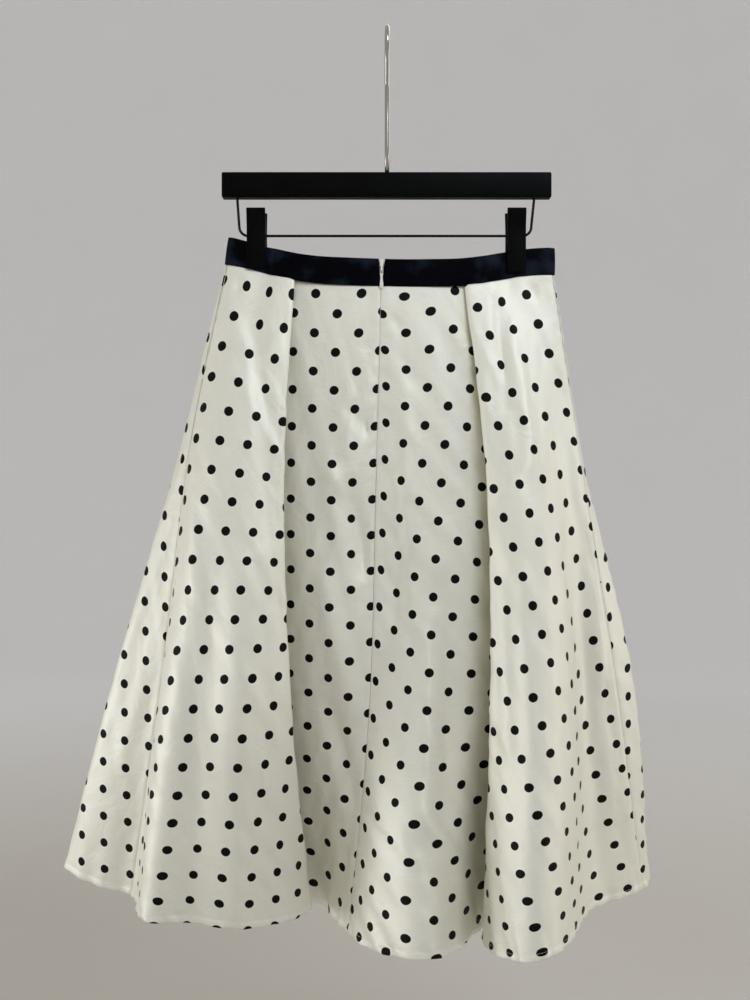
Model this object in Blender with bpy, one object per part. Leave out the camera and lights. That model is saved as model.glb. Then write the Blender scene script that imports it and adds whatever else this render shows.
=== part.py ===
"""A-line skirt on a clip hanger.

Metres, +Z up.  The side that is shown (the skirt's back, with the zip) faces -Y and
+X is to the viewer's right.  The origin is the underside of the hook's crown, where
the hanger rests.  Sizes below are in millimetres and are turned to metres once, in mm().

The skirt is one ring of cloth that hangs from the band.  RING has a row for each line
that runs down the cloth (seams, fold edges, tips of the folds, middles of the lobes),
with its place in plan at four heights.  Every line is as long as the skirt.
"""
import math

import bmesh
import bpy
from mathutils import Vector

# ---------------------------------------------------------------- sizes, mm
CLOTH_T = 1.2          # wall of the skirt panels
BAND_T = 2.4           # wall of the waistband, folded double
SEAM = 0.3             # space between pieces at a seam
BAND_H = 28.6          # height of the waistband
LENGTH = 669.0         # skirt from the band to the hem, along the cloth
ROWS = 14              # rows of faces down a panel

BAR = dict(x0=-173.0, x1=172.0, z0=-175.9, z1=-149.6, depth=13.0, bevel=1.6)
STEM_R = 2.4           # hook wire
HOOK_R = 20.9          # crown, to the middle of the wire
HOOK_TAIL_Z = -47.0
WIRE_R = 1.4           # loop below the bar
WIRE_Z = -215.25
HOLE_GAP = 0.25        # clearance of a wire in its hole

CLIP_W = 19.8          # width of a clip's plates
CLIP_T = 2.8
CLIP_TOP_Z = -188.5
HUB_R = 5.2
HUB_W = 15.0

ZIP_X = -5.8           # middle of the zip at the slider
ZIP_PIN = (-13.5, -253.0)      # y, z of the pull's cross-bar: the hinge
PULL_END_Z = -272.5
PULL_W = 3.9
PULL_T = 1.0
TAPE_W = 22.0          # zip tape, both sides together
TAPE_T = 0.8
TAPE_LEN = 190.0       # below the band

# heights of the table's four places, as parts of the skirt's length
LEVELS = (0.0, 0.30, 0.65, 1.0)

# name, columns to the next row, then x y at the waist, at 0.30, at 0.65 and at the hem
# (CB centre-back seam, SL SR side seams, EL ER silhouettes, F fold edge, T hidden tip)
RING = (
    ("CB",    3,   -6.3, -11.2,  -11.5,   -20,  -18.5,   -38,    -41,   -26),
    ("cl1",   3,    -34, -10.6,    -42,   -25,    -42,   -37,    -58,     6),
    ("cl2",   3,    -72,  -9.4,    -84,   -21,    -78,   -26,    -72,    30),
    ("inL",   3,    -97,  -6.9,   -118,   -12,   -122,    -8,   -112,    32),
    ("TLa",   2,   -111,  -5.7,   -150,    -7,   -180,     5,   -205,    24),
    ("TL",    2,  -112.3, -6.85,   -155,   -12,   -189,    -4,   -216,    13),
    ("TLb",   3,   -111,  -8.0,   -150,   -17,   -180,   -13,   -205,     2),
    ("unL",   3,   -105,  -8.7,   -127,   -26,   -133,   -29,   -138,    10),
    ("FLa",   2,  -98.6,  -9.1,   -111,   -31,   -106,   -41,    -92,    13),
    ("FL",    2,  -96.6, -10.3,   -105,   -37,    -97,   -50,    -80,     3),
    ("FLb",   3,  -98.6, -11.5,   -111,   -43,   -105,   -61,    -88,   -16),
    ("bl1",   3,  -113.5, -10.2,   -130,   -49,   -130,   -74,   -114,   -48),
    ("bl2",   3,  -126,  -4.4,   -158,  -48,    -166,  -77,   -160,  -68),
    ("bl3",   3,  -144,  -4.0,   -184,  -38,    -204,  -68,   -208,  -74),
    ("bl4",   3,   -159,  -3.7,   -198,   -25,   -223,   -46,   -240,   -66),
    ("SL",    2,  -167.6,  -2.1,   -206,   -14,  -233.5,   -21,   -268,    -6),
    ("el1",   2,  -168.9,  -0.9,   -214,    -6,   -259,   -10,   -309,     6),
    ("EL",    2,  -169.2,   0.6,   -218,     3,  -283.5,     4,   -347,    31),
    ("fl1",   3,   -163,   3.6,   -207,    20,   -274,    34,   -338,    66),
    ("fl2",   3,  -145,   4.0,   -185,   37,    -248,   64,   -298,   95),
    ("fl3",   3,  -125,   4.5,   -150,   47,    -196,   77,   -235,  106),
    ("fl4",   3,   -98,  11.2,   -116,   50,    -138,   76,   -168,  100),
    ("GLb",   2,   -76,  12.7,    -86,   49,     -93,   72,   -103,   92),
    ("GL",    2,   -74,  11.5,    -80,   43,     -84,   63,    -91,   82),
    ("GLa",   3,   -76,  10.3,    -86,   37,     -93,   54,   -103,   72),
    ("ULb",   2,   -95,   9.4,   -122,   31,    -150,   48,   -174,   68),
    ("UL",    2, -96.3,   8.3,   -127,   26,    -157,   41,   -183,   60),
    ("ULa",   3,   -95,   7.2,   -122,   21,    -150,   34,   -174,   52),
    ("gl1",   3,   -74,   8.2,    -90,   25,    -104,   38,   -122,   52),
    ("gl2",   3,   -48,  10.7,    -52,   36,     -56,   57,    -62,   80),
    ("CF",    3,   -14,  11.4,    -15,   44,     -15,   73,    -14,  109),
    ("gr2",   3,    22,  11.4,     24,   42,      30,   66,     38,   95),
    ("gr1",   3,    50,  10.5,     60,   33,      68,   47,     80,   64),
    ("URa",   2,    97,   7.2,    122,   18,     148,   29,    166,   42),
    ("UR",    2,  98.3,   8.3,    127,   23.5,   155,   36,    175,   51),
    ("URb",   3,    97,   9.4,    122,   29,     148,   43,    166,   60),
    ("GRa",   2,    80,  10.3,     90,   36,      96,   53,     99,   70),
    ("GR",    2,    78,  11.5,     84,   42,      87,   62,     88,   81),
    ("GRb",   3,    80,  12.7,     90,   48,      96,   71,     99,   94),
    ("fr4",   3,   102,  10.9,    116,   51,     130,   79,    142,  108),
    ("fr3",   3,   124,   4.5,    146,   48,     172,   79,    196,  114),
    ("fr2",   3,   146,   4.0,    178,   37,     214,   65,    242,  101),
    ("fr1",   3,   168,   3.4,    201,   21,     246,   42,    279,   82),
    ("ER",    2,    175,   0.4,  206.5,     4,    258,    15,    290,    58),
    ("SR",    3,  173.8,  -2.0,    203,    -8,    240,    -3,    278,    36),
    ("rb6",   2,   168,  -3.4,    197,  -13,     225,   -5,    252,   21),
    ("rb5",   2,   160,  -3.9,    187,  -18,     207,   -9,    222,    6),
    ("rb4",   2,   150,  -4.0,    176,  -26,     193,  -21,    203,  -22),
    ("rb3",   3,   140,  -4.1,    164,  -37,     183,  -52,    191,  -76),
    ("rb2",   3,   124,  -4.5,    148,  -46,     165,  -80,    172, -120),
    ("rb1",   3,   108, -10.2,    130,  -49,     140,  -90,    143, -137),
    ("rb0",   3,    98, -11.2,    114,  -46,     118,  -82,    112, -116),
    ("FRb",   2,    83, -11.6,    106,  -42,     107,  -67,     98,  -78),
    ("FR",    2,  80.6, -10.4,    101,  -37,     102,  -57,     95,  -53),
    ("FRa",   3,    83,  -9.2,    106,  -31,     108,  -47,    102,  -37),
    ("TRb",   2,   100,  -8.3,    137,  -26,     157,  -30,    166,  -21),
    ("TR",    2, 101.3,  -7.15,   142,  -20,     165,  -21,    176,   -9),
    ("TRa",   3,   100,  -6.0,    137,  -14,     157,  -12,    166,    3),
    ("cr3",   3,    74,  -8.6,     95,  -21,      98,  -29,    101,  -12),
    ("cr2",   3,    52, -10.5,     64,  -27,      64,  -48,     70,  -68),
    ("cr1",   3,    22, -11.2,     26,  -27,      25,  -52,     34, -105),
    ("cr0",   2,      6, -11.3,      4,   -23,      0,   -45,    -13,   -76),
)

# the waistband in plan: x, half of its depth (it is pinched at the clips)
BAND_PLAN = (
    (-164.5, 3.3), (-157, 3.9), (-145, 4.0), (-126, 4.2), (-119.5, 7.4), (-113, 9.9),
    (-60, 11.3), (0, 11.4), (60, 11.3), (108, 9.6), (116, 7.0), (124, 4.2),
    (144, 4.0), (160, 3.9), (170.5, 3.3),
)
BAND_ENDS = (-169.2, 175.0)

# the band's lower edge in elevation: x, z (it sags between the clips)
BAND_LOW = (
    (-175, -244.5), (-160, -247.5), (-140, -252.0), (-118, -258.5), (-95, -264.0),
    (-70, -267.5), (-40, -269.2), (0, -270.2), (45, -270.6), (80, -269.6),
    (105, -266.2), (125, -261.5), (150, -257.8), (180, -256.5),
)
BAND_GAP_TOP = (-8.7, -2.1)    # x of the band's two ends at its top edge
BAND_GAP_LOW = (-6.5, -6.1)


# ---------------------------------------------------------------- helpers
def mm(*v):
    return Vector([a * 0.001 for a in v])


def clear_scene():
    for ob in list(bpy.data.objects):
        bpy.data.objects.remove(ob, do_unlink=True)


def new_object(name, verts, faces):
    """One closed body from corners in mm, faces turned outwards."""
    me = bpy.data.meshes.new(name)
    me.from_pydata([mm(*v) for v in verts], [], faces)
    bm = bmesh.new()
    bm.from_mesh(me)
    bmesh.ops.recalc_face_normals(bm, faces=bm.faces)
    bm.to_mesh(me)
    bm.free()
    ob = bpy.data.objects.new(name, me)
    bpy.context.scene.collection.objects.link(ob)
    return ob


def hermite(ts, vs, t):
    """Smooth curve through (ts, vs), slopes from neighbours."""
    n = len(ts)
    i = 0
    while i < n - 2 and t > ts[i + 1]:
        i += 1

    def slope(k):
        if k == 0:
            return (vs[1] - vs[0]) / (ts[1] - ts[0])
        if k == n - 1:
            return (vs[-1] - vs[-2]) / (ts[-1] - ts[-2])
        a = (vs[k] - vs[k - 1]) / (ts[k] - ts[k - 1])
        b = (vs[k + 1] - vs[k]) / (ts[k + 1] - ts[k])
        w = (ts[k + 1] - ts[k]) / (ts[k + 1] - ts[k - 1])
        return a * w + b * (1 - w)

    h = ts[i + 1] - ts[i]
    u = (t - ts[i]) / h
    return ((2 * u ** 3 - 3 * u ** 2 + 1) * vs[i] + (u ** 3 - 2 * u ** 2 + u) * h * slope(i)
            + (-2 * u ** 3 + 3 * u ** 2) * vs[i + 1] + (u ** 3 - u ** 2) * h * slope(i + 1))


def through(table, x):
    xs = [r[0] for r in table]
    return hermite(xs, [r[1] for r in table], min(max(x, xs[0]), xs[-1]))


def spline(p0, p1, p2, p3, u):
    """Centripetal Catmull-Rom between p1 and p2."""
    t0 = 0.0
    t1 = t0 + max(math.dist(p0, p1), 1e-6) ** 0.5
    t2 = t1 + max(math.dist(p1, p2), 1e-6) ** 0.5
    t3 = t2 + max(math.dist(p2, p3), 1e-6) ** 0.5
    t = t1 + (t2 - t1) * u
    mix = lambda a, b, ta, tb: [((tb - t) * m + (t - ta) * n) / (tb - ta) for m, n in zip(a, b)]
    a1, a2, a3 = mix(p0, p1, t0, t1), mix(p1, p2, t1, t2), mix(p2, p3, t2, t3)
    b1, b2 = mix(a1, a2, t0, t2), mix(a2, a3, t1, t3)
    return mix(b1, b2, t1, t2)


def curve_points(points, per, closed=False):
    """Points of a smooth curve through `points`, `per` steps a span."""
    n = len(points)
    out = []
    for i in range(n if closed else n - 1):
        if closed:
            q = [points[(i + k) % n] for k in (-1, 0, 1, 2)]
        else:
            q = [points[max(i - 1, 0)], points[i], points[i + 1], points[min(i + 2, n - 1)]]
            if i == 0:
                q[0] = [2 * a - b for a, b in zip(points[0], points[1])]
            if i == n - 2:
                q[3] = [2 * a - b for a, b in zip(points[-1], points[-2])]
        steps = per[i] if isinstance(per, (list, tuple)) else per
        out += [spline(*q, k / steps) for k in range(steps)]
    if not closed:
        out.append(list(points[-1]))
    return out


# ---------------------------------------------------------------- cloth form
def station_at(row, s):
    return [hermite(LEVELS, row[2 + k::2], s) for k in (0, 1)]


def ring_at(s):
    """The whole ring in plan at part s of the length, and where the rows' lines are."""
    pts = [station_at(r, s) for r in RING]
    return curve_points(pts, [r[1] for r in RING], closed=True)


def column_index(name):
    k = 0
    for r in RING:
        if r[0] == name:
            return k
        k += r[1]
    raise KeyError(name)


def band_low(x):
    return through(BAND_LOW, x)


def panel_grid(first, last, rows=ROWS, edge=SEAM / 2 + 0.01):
    """Middle surface of the cloth from line `first` to line `last`, as columns of points
    going down.  One column more at each side, past the seam, only gives the seam's
    direction, so that both pieces' edges face each other."""
    total = sum(r[1] for r in RING)
    a, b = column_index(first), column_index(last)
    if b <= a:
        b += total
    plans = []
    for k in range(rows + 1):
        ring = ring_at(k / rows)
        pts = [ring[c % total] for c in range(a - 1, b + 2)]
        for end, way in ((1, 1), (-2, -1)):
            p, q, r = (Vector(pts[end + d]) for d in (-1, 0, 1)) if end == 1 else (Vector(pts[d]) for d in (-3, -2, -1))
            along = ((q - p).normalized() + (r - q).normalized()).normalized()
            pts[end] = list(q + along * edge * way)
        plans.append(pts)
    grid = []
    for c in range(b - a + 3):
        x, y = plans[0][c]
        z = band_low(x) - SEAM
        column = [(x, y, z)]
        for k in range(1, rows + 1):
            nx, ny = plans[k][c]
            step = LENGTH / rows
            z -= math.sqrt(max(step ** 2 - (nx - x) ** 2 - (ny - y) ** 2, 1.0))
            x, y = nx, ny
            column.append((x, y, z))
        grid.append(column)
    return grid


def grid_normals(grid):
    nc, nr = len(grid), len(grid[0])
    out = []
    for c in range(nc):
        col = []
        for r in range(nr):
            across = Vector(grid[min(c + 1, nc - 1)][r]) - Vector(grid[max(c - 1, 0)][r])
            down = Vector(grid[c][min(r + 1, nr - 1)]) - Vector(grid[c][max(r - 1, 0)])
            if 0 < c < nc - 1:      # even weight for both sides at a tight fold
                a = (Vector(grid[c][r]) - Vector(grid[c - 1][r])).normalized()
                b = (Vector(grid[c + 1][r]) - Vector(grid[c][r])).normalized()
                across = a + b
            col.append(across.cross(down).normalized())
        out.append(col)
    return out


def wall(name, grid, thick, shift=0.0, spare=0):
    """A closed wall round a middle surface; shift moves it inwards.  `spare` columns at
    each side only steer the directions."""
    nrm = grid_normals(grid)
    if spare:
        grid, nrm = grid[spare:-spare], nrm[spare:-spare]
    nc, nr = len(grid), len(grid[0])
    verts, faces = [], []
    for side in (-1, 1):
        for c in range(nc):
            for r in range(nr):
                move = shift(r) if callable(shift) else shift
                off = side * thick / 2 - move
                verts.append(tuple(Vector(grid[c][r]) + nrm[c][r] * off))
    half = nc * nr
    ix = lambda side, c, r: side * half + c * nr + r
    for c in range(nc - 1):
        for r in range(nr - 1):
            for side in (0, 1):
                q = [ix(side, c, r), ix(side, c + 1, r), ix(side, c + 1, r + 1), ix(side, c, r + 1)]
                faces.append(q if side else q[::-1])
    for c in range(nc - 1):
        faces.append([ix(0, c, 0), ix(1, c, 0), ix(1, c + 1, 0), ix(0, c + 1, 0)])
        faces.append([ix(0, c + 1, nr - 1), ix(1, c + 1, nr - 1), ix(1, c, nr - 1), ix(0, c, nr - 1)])
    for r in range(nr - 1):
        faces.append([ix(0, 0, r + 1), ix(1, 0, r + 1), ix(1, 0, r), ix(0, 0, r)])
        faces.append([ix(0, nc - 1, r), ix(1, nc - 1, r), ix(1, nc - 1, r + 1), ix(0, nc - 1, r + 1)])
    return new_object(name, verts, faces)


def skirt():
    """Front (wraps round both silhouettes) and two backs."""
    wall("skirt_back_left", panel_grid("CB", "SL"), CLOTH_T, spare=1)
    wall("skirt_front", panel_grid("SL", "SR"), CLOTH_T, spare=1)
    wall("skirt_back_right", panel_grid("SR", "CB"), CLOTH_T, spare=1)


def zip_tape():
    """The zip's tape, behind the centre-back seam and the band's opening."""
    total = sum(r[1] for r in RING)
    rows = 9
    z_top = band_low(ZIP_X) + BAND_H - 3.0
    grid = []
    for c in range(5):
        away = (c / 4 - 0.5) * TAPE_W
        column = [(ZIP_X - away, -11.3, z_top), (ZIP_X - away, -11.3, band_low(ZIP_X) + 3.0)]
        for k in range(1, rows + 1):
            s = k / rows * TAPE_LEN / LENGTH
            ring = ring_at(s)
            n = 1 if away > 0 else total - 1
            p, q = ring[0], ring[n]
            d = math.dist(p, q)
            x, y = [a + (b - a) / d * abs(away) for a, b in zip(p, q)]
            column.append((x, y, band_low(ZIP_X) - SEAM - s * LENGTH))
        grid.append(column)
    deep, flat = 3.4, CLOTH_T / 2 + SEAM + TAPE_T / 2 + 0.5
    wall("zip_tape", grid, TAPE_T, shift=lambda r: deep if r < 2 else flat + (deep - flat) * max(0, 3 - r) * 0.5)


# ---------------------------------------------------------------- waistband
def band_ring():
    """Middle line of the band in plan, from one end at the zip round to the other."""
    near = [(x, -h) for x, h in BAND_PLAN]
    far = [(x, h) for x, h in reversed(BAND_PLAN)]
    left = [p for p in near if p[0] < ZIP_X - 15]
    right = [p for p in near if p[0] > ZIP_X + 15]
    pts = ([(BAND_GAP_LOW[0], -11.4), (ZIP_X - 14, -11.4)] + left[::-1] + [(BAND_ENDS[0], 0)]
           + far[::-1] + [(BAND_ENDS[1], 0)] + right[::-1] + [(ZIP_X + 14, -11.4), (BAND_GAP_LOW[1], -11.4)])
    return pts


def waistband():
    plan = curve_points(band_ring(), 2)
    last = len(plan) - 1
    grid = []
    for i, (x, y) in enumerate(plan):
        low = band_low(x)
        column = []
        for r in range(5):
            t = 1 - r / 4
            px = x
            if i in (0, last):
                px = x + (BAND_GAP_TOP[0 if i == 0 else 1] - x) * t
            column.append((px, y, low + BAND_H * t))
        grid.append(column)
    wall("waistband", grid, BAND_T)


# ---------------------------------------------------------------- solids
def prism(name, outline, axis, a, b):
    """A flat outline pulled from a to b along an axis ('x' outline is y,z; 'y' is x,z)."""
    place = {"x": lambda p, t: (t, p[0], p[1]), "y": lambda p, t: (p[0], t, p[1]),
             "z": lambda p, t: (p[0], p[1], t)}[axis]
    n = len(outline)
    verts = [place(p, a) for p in outline] + [place(p, b) for p in outline]
    faces = [list(range(n))[::-1], list(range(n, 2 * n))]
    faces += [[i, (i + 1) % n, n + (i + 1) % n, n + i] for i in range(n)]
    return new_object(name, verts, faces)


def tube(name, path, radius, sides=12, round_end=False):
    """A round wire along a path of points."""
    pts = [Vector(p) for p in path]
    n = len(pts)
    up = Vector((1, 0, 0)) if abs((pts[1] - pts[0]).normalized().x) < 0.9 else Vector((0, 1, 0))
    verts, faces = [], []
    for i, p in enumerate(pts):
        d = (pts[min(i + 1, n - 1)] - pts[max(i - 1, 0)]).normalized()
        side = d.cross(up).normalized()
        if i and side.dot(last_side) < 0:
            side = -side
        last_side = side
        other = d.cross(side)
        r = radius * (0.62 if round_end and i == n - 1 else 1.0)
        for k in range(sides):
            a = 2 * math.pi * k / sides
            verts.append(tuple(p + side * (math.cos(a) * r) + other * (math.sin(a) * r)))
    for i in range(n - 1):
        for k in range(sides):
            faces.append([i * sides + k, i * sides + (k + 1) % sides,
                          (i + 1) * sides + (k + 1) % sides, (i + 1) * sides + k])
    faces += [list(range(sides))[::-1], [(n - 1) * sides + k for k in range(sides)]]
    return new_object(name, verts, faces)


def cut(ob, tool, how="DIFFERENCE"):
    mod = ob.modifiers.new(how.lower(), "BOOLEAN")
    mod.operation = how
    mod.solver = "EXACT"
    mod.object = tool
    tool.hide_render = True
    tool.display_type = "WIRE"


def chamfered(w0, w1, h0, h1, c):
    return [(w0 + c, h0), (w1 - c, h0), (w1, h0 + c), (w1, h1 - c), (w1 - c, h1), (w0 + c, h1), (w0, h1 - c), (w0, h0 + c)]


def arc(cx, cy, r, a0, a1, n):
    return [(cx + r * math.cos(math.radians(a0 + (a1 - a0) * k / n)),
             cy + r * math.sin(math.radians(a0 + (a1 - a0) * k / n))) for k in range(n + 1)]


# ---------------------------------------------------------------- hanger
def wire_path():
    left = [(-157.0, -166.0), (-157.0, -178.0), (-155.2, -204.0)]
    right = [(151.6, -204.0), (154.3, -178.0), (154.3, -166.0)]
    bend = 9.5
    lc = arc(-155.0 + bend, WIRE_Z + bend, bend, 188, 270, 4)
    rc = arc(151.5 - bend, WIRE_Z + bend, bend, 270, 352, 4)
    return [(x, 0.0, z) for x, z in left + lc + rc + right]


def hook_path():
    zc = STEM_R * -1 + 0.0 + STEM_R - HOOK_R + STEM_R      # crown's underside at 0
    pts = [(0, -160), (0, -120), (0, -66), (-2.2, -57), (-9.0, -46), (-16.0, -35)]
    pts += arc(0, zc, HOOK_R, 195, -8, 9)
    pts += [(21.6, -33), (24.2, HOOK_TAIL_Z + 3), (25.0, HOOK_TAIL_Z)]
    smooth = [pts[0], pts[1]] + curve_points(pts[2:], 2)
    return [(0.0, y, z) for y, z in smooth]


def hanger():
    bar = prism("hanger_bar", chamfered(-BAR["depth"] / 2, BAR["depth"] / 2, BAR["z0"], BAR["z1"], BAR["bevel"]),
                "x", BAR["x0"], BAR["x1"])
    tools = [("hook_hole", (0, 0), STEM_R, -162, -140), ("wire_hole_left", (-157.0, 0), WIRE_R, -185, -164),
             ("wire_hole_right", (154.3, 0), WIRE_R, -185, -164)]
    for name, (x, y), r, z0, z1 in tools:
        r = (r + HOLE_GAP) / math.cos(math.pi / 12)
        ring = [(x + r * math.cos(2 * math.pi * k / 12), y + r * math.sin(2 * math.pi * k / 12)) for k in range(12)]
        cut(bar, prism(name, ring, "z", z0, z1))
    tube("hanger_hook", hook_path(), STEM_R, 12, round_end=True)
    tube("hanger_wire", wire_path(), WIRE_R, 10)


# a clip's plate, from the side: z, distance of its inner face from the middle plane
CLIP_SIDE = (
    (CLIP_TOP_Z, 10.6), (-200.0, 8.0), (-209.0, 6.2), (-222.0, 6.0), (-234.0, 6.3), (-245.0, 5.9), (-256.0, 5.6),
)


def clip(side, xc, low):
    w = CLIP_W / 2
    for name, sgn in (("front", -1), ("rear", 1)):
        inner = [(sgn * d, z if z > -250 else low) for z, d in CLIP_SIDE]
        outer = [(y + sgn * CLIP_T * (0.75 if z in (CLIP_TOP_Z, low) else 1.0), z) for y, z in inner]
        prism("clip_%s_%s" % (side, name), inner + outer[::-1], "x", xc - w, xc + w)
    hub = prism("clip_%s_hub" % side, arc(0, WIRE_Z, HUB_R, 0, 337.5, 15), "x", xc - HUB_W / 2, xc + HUB_W / 2)
    r = (WIRE_R + HOLE_GAP) / math.cos(math.pi / 10)
    cut(hub, prism("clip_%s_bore" % side, arc(0, WIRE_Z, r, 0, 324, 9), "x", xc - HUB_W, xc + HUB_W))


# ---------------------------------------------------------------- zip
def zip_slider():
    """Back plate behind the band, spine in the band's opening, small arch in front."""
    y0, z0 = ZIP_PIN
    body = prism("zip_slider", [(-12.5, -243.0), (-8.7, -243.0), (-8.7, -256.4), (y0 - 2.5, -256.4),
                                (y0 - 2.9, -255.8), (y0 - 2.9, -250.6), (y0 - 2.3, -249.9), (-12.5, -249.9)],
                 "x", ZIP_X - 0.8, ZIP_X + 0.8)
    cut(body, prism("arch_hole", [(-12.7, -254.9), (y0 - 1.6, -254.9), (y0 - 1.6, -251.4), (-12.7, -251.4)],
                    "x", ZIP_X - 3, ZIP_X + 3))
    cut(body, prism("back_plate", chamfered(ZIP_X - 3.4, ZIP_X + 3.4, -257.0, -242.6, 1.2), "y", -9.9, -8.7), "UNION")
    cut(body, prism("spine_top", chamfered(ZIP_X - 1.8, ZIP_X + 1.8, -249.3, -242.6, 0.6), "y", -12.6, -9.5), "UNION")


def zip_pull():
    """A teardrop tab with a window at its top; the cross-bar turns in the arch."""
    y0, z0 = ZIP_PIN
    top = z0 + 0.5
    w = PULL_W / 2
    end = arc(ZIP_X, PULL_END_Z + w, w, 0, -180, 8)
    outline = [(ZIP_X - 1.7, top), (ZIP_X + 1.7, top), (ZIP_X + 1.75, -258.0)] + end + [(ZIP_X - 1.75, -258.0)]
    pull = prism("zip_pull", outline, "y", y0 - PULL_T / 2, y0 + PULL_T / 2)
    cut(pull, prism("pull_window", [(ZIP_X - 1.15, z0 - 0.5), (ZIP_X + 1.15, z0 - 0.5),
                                    (ZIP_X + 1.15, z0 - 4.3), (ZIP_X - 1.15, z0 - 4.3)], "y", y0 - 3, y0 + 3))


def main():
    clear_scene()
    skirt()
    waistband()
    zip_tape()
    hanger()
    clip("left", -136.6, -256.4)
    clip("right", 135.0, -255.4)
    zip_slider()
    zip_pull()


main()
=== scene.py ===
"""A-line skirt on a clip hanger: the looks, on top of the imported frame.

The cloth is one ring that hangs from the band.  It is cut as a little more than a half
circle: the lines that run down it in RING come from the middle of that circle, and each is
as long as the skirt.  Every panel keeps its flat cut as its UV map, in metres, so the dots
lie on the cloth as they were printed, with the grain along the centre seams.
"""

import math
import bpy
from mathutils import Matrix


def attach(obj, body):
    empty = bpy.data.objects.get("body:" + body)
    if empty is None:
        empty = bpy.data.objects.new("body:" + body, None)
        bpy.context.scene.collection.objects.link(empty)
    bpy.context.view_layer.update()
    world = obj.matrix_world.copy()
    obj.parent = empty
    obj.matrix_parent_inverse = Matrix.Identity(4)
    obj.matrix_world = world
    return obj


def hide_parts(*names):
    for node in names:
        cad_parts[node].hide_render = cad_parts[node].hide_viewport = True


bl_info = {
    "name": "A-line Skirt on a Clip Hanger",
    "version": (1, 0, 0),
    "blender": (4, 5, 0),
    "location": "View3D > Sidebar > Skirt",
    "description": "Builds a dotted satin skirt on a bar hanger, piece by piece",
    "category": "Add Mesh",
}

import bmesh
import bpy
import numpy as np
from bpy.props import FloatProperty, FloatVectorProperty, PointerProperty
from mathutils import Vector

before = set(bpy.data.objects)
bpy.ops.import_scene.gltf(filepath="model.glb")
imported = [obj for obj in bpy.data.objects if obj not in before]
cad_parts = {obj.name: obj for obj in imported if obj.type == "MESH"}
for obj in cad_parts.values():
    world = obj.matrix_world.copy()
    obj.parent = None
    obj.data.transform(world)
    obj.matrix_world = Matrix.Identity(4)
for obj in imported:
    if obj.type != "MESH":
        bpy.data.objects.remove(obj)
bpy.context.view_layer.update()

# ------------------------------------------------------------ sizes, mm
LENGTH = 669.0         # skirt from the band to the hem, along the cloth
SEAM = 0.3             # between the band's lower edge and the cloth's own top
TUCK = 0.9             # the cloth goes up under the band's edge by this
STAND_BACK = 0.11      # each panel ends this far from the seam's line
BAND_H = 28.6
BAND_T = 2.4
WAIST_R = 300.0        # the cut: inner radius of the circle
CLOTH_T = 0.5          # the cloth as it shows
HEM_H = 6.5            # turned hem
HEM_BULK = 0.42        # half of what the turned hem adds to the thickness
HEM_GROOVE = 0.22      # how deep its stitches pull in on each face
THREAD_R = 0.12        # hem thread

BAR = dict(x0=-173.0, x1=172.0, z0=-175.9, z1=-149.6, depth=13.0)
STEM_R = 2.4
HOOK_R = 20.9
HOOK_TAIL_Z = -47.0
WIRE_R = 1.4
WIRE_Z = -215.25
CLIP_W = 19.8
CLIP_T = 2.8
CLIP_TOP_Z = -188.5
CLIPS = (("left", -136.6, -250.8), ("right", 135.0, -255.4))     # side, x, lower end
CLIPS_MIDDLE, CLIPS_HALF = -0.8, 135.8     # midway between the two, and half their distance
HUB_R = 5.2
HUB_W = 15.0
ZIP_X = -5.8
ZIP_LENGTH = 186.0     # of the closed zip below the band
ZIP_PIN = (-13.5, -253.0)
PULL_END_Z = -272.5
PULL_W = 3.9
PULL_T = 1.0
STAGE_RIM = 7000.0     # the stage: its outer radius, its wall's height, the bend's radius
STAGE_TOP = 4200.0
STAGE_BEND = 2600.0
FLOOR_Z = -1240.0
VIEW_HEIGHT = 1.05     # metres of the hanger's plane that fill the picture's height
CAMERA_X, CAMERA_Z = -0.0126, -0.49245       # metres

LEVELS = (0.0, 0.30, 0.65, 1.0)      # parts of the length at which RING gives its places
WAVE = 6.28            # one wave, in radians

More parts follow.
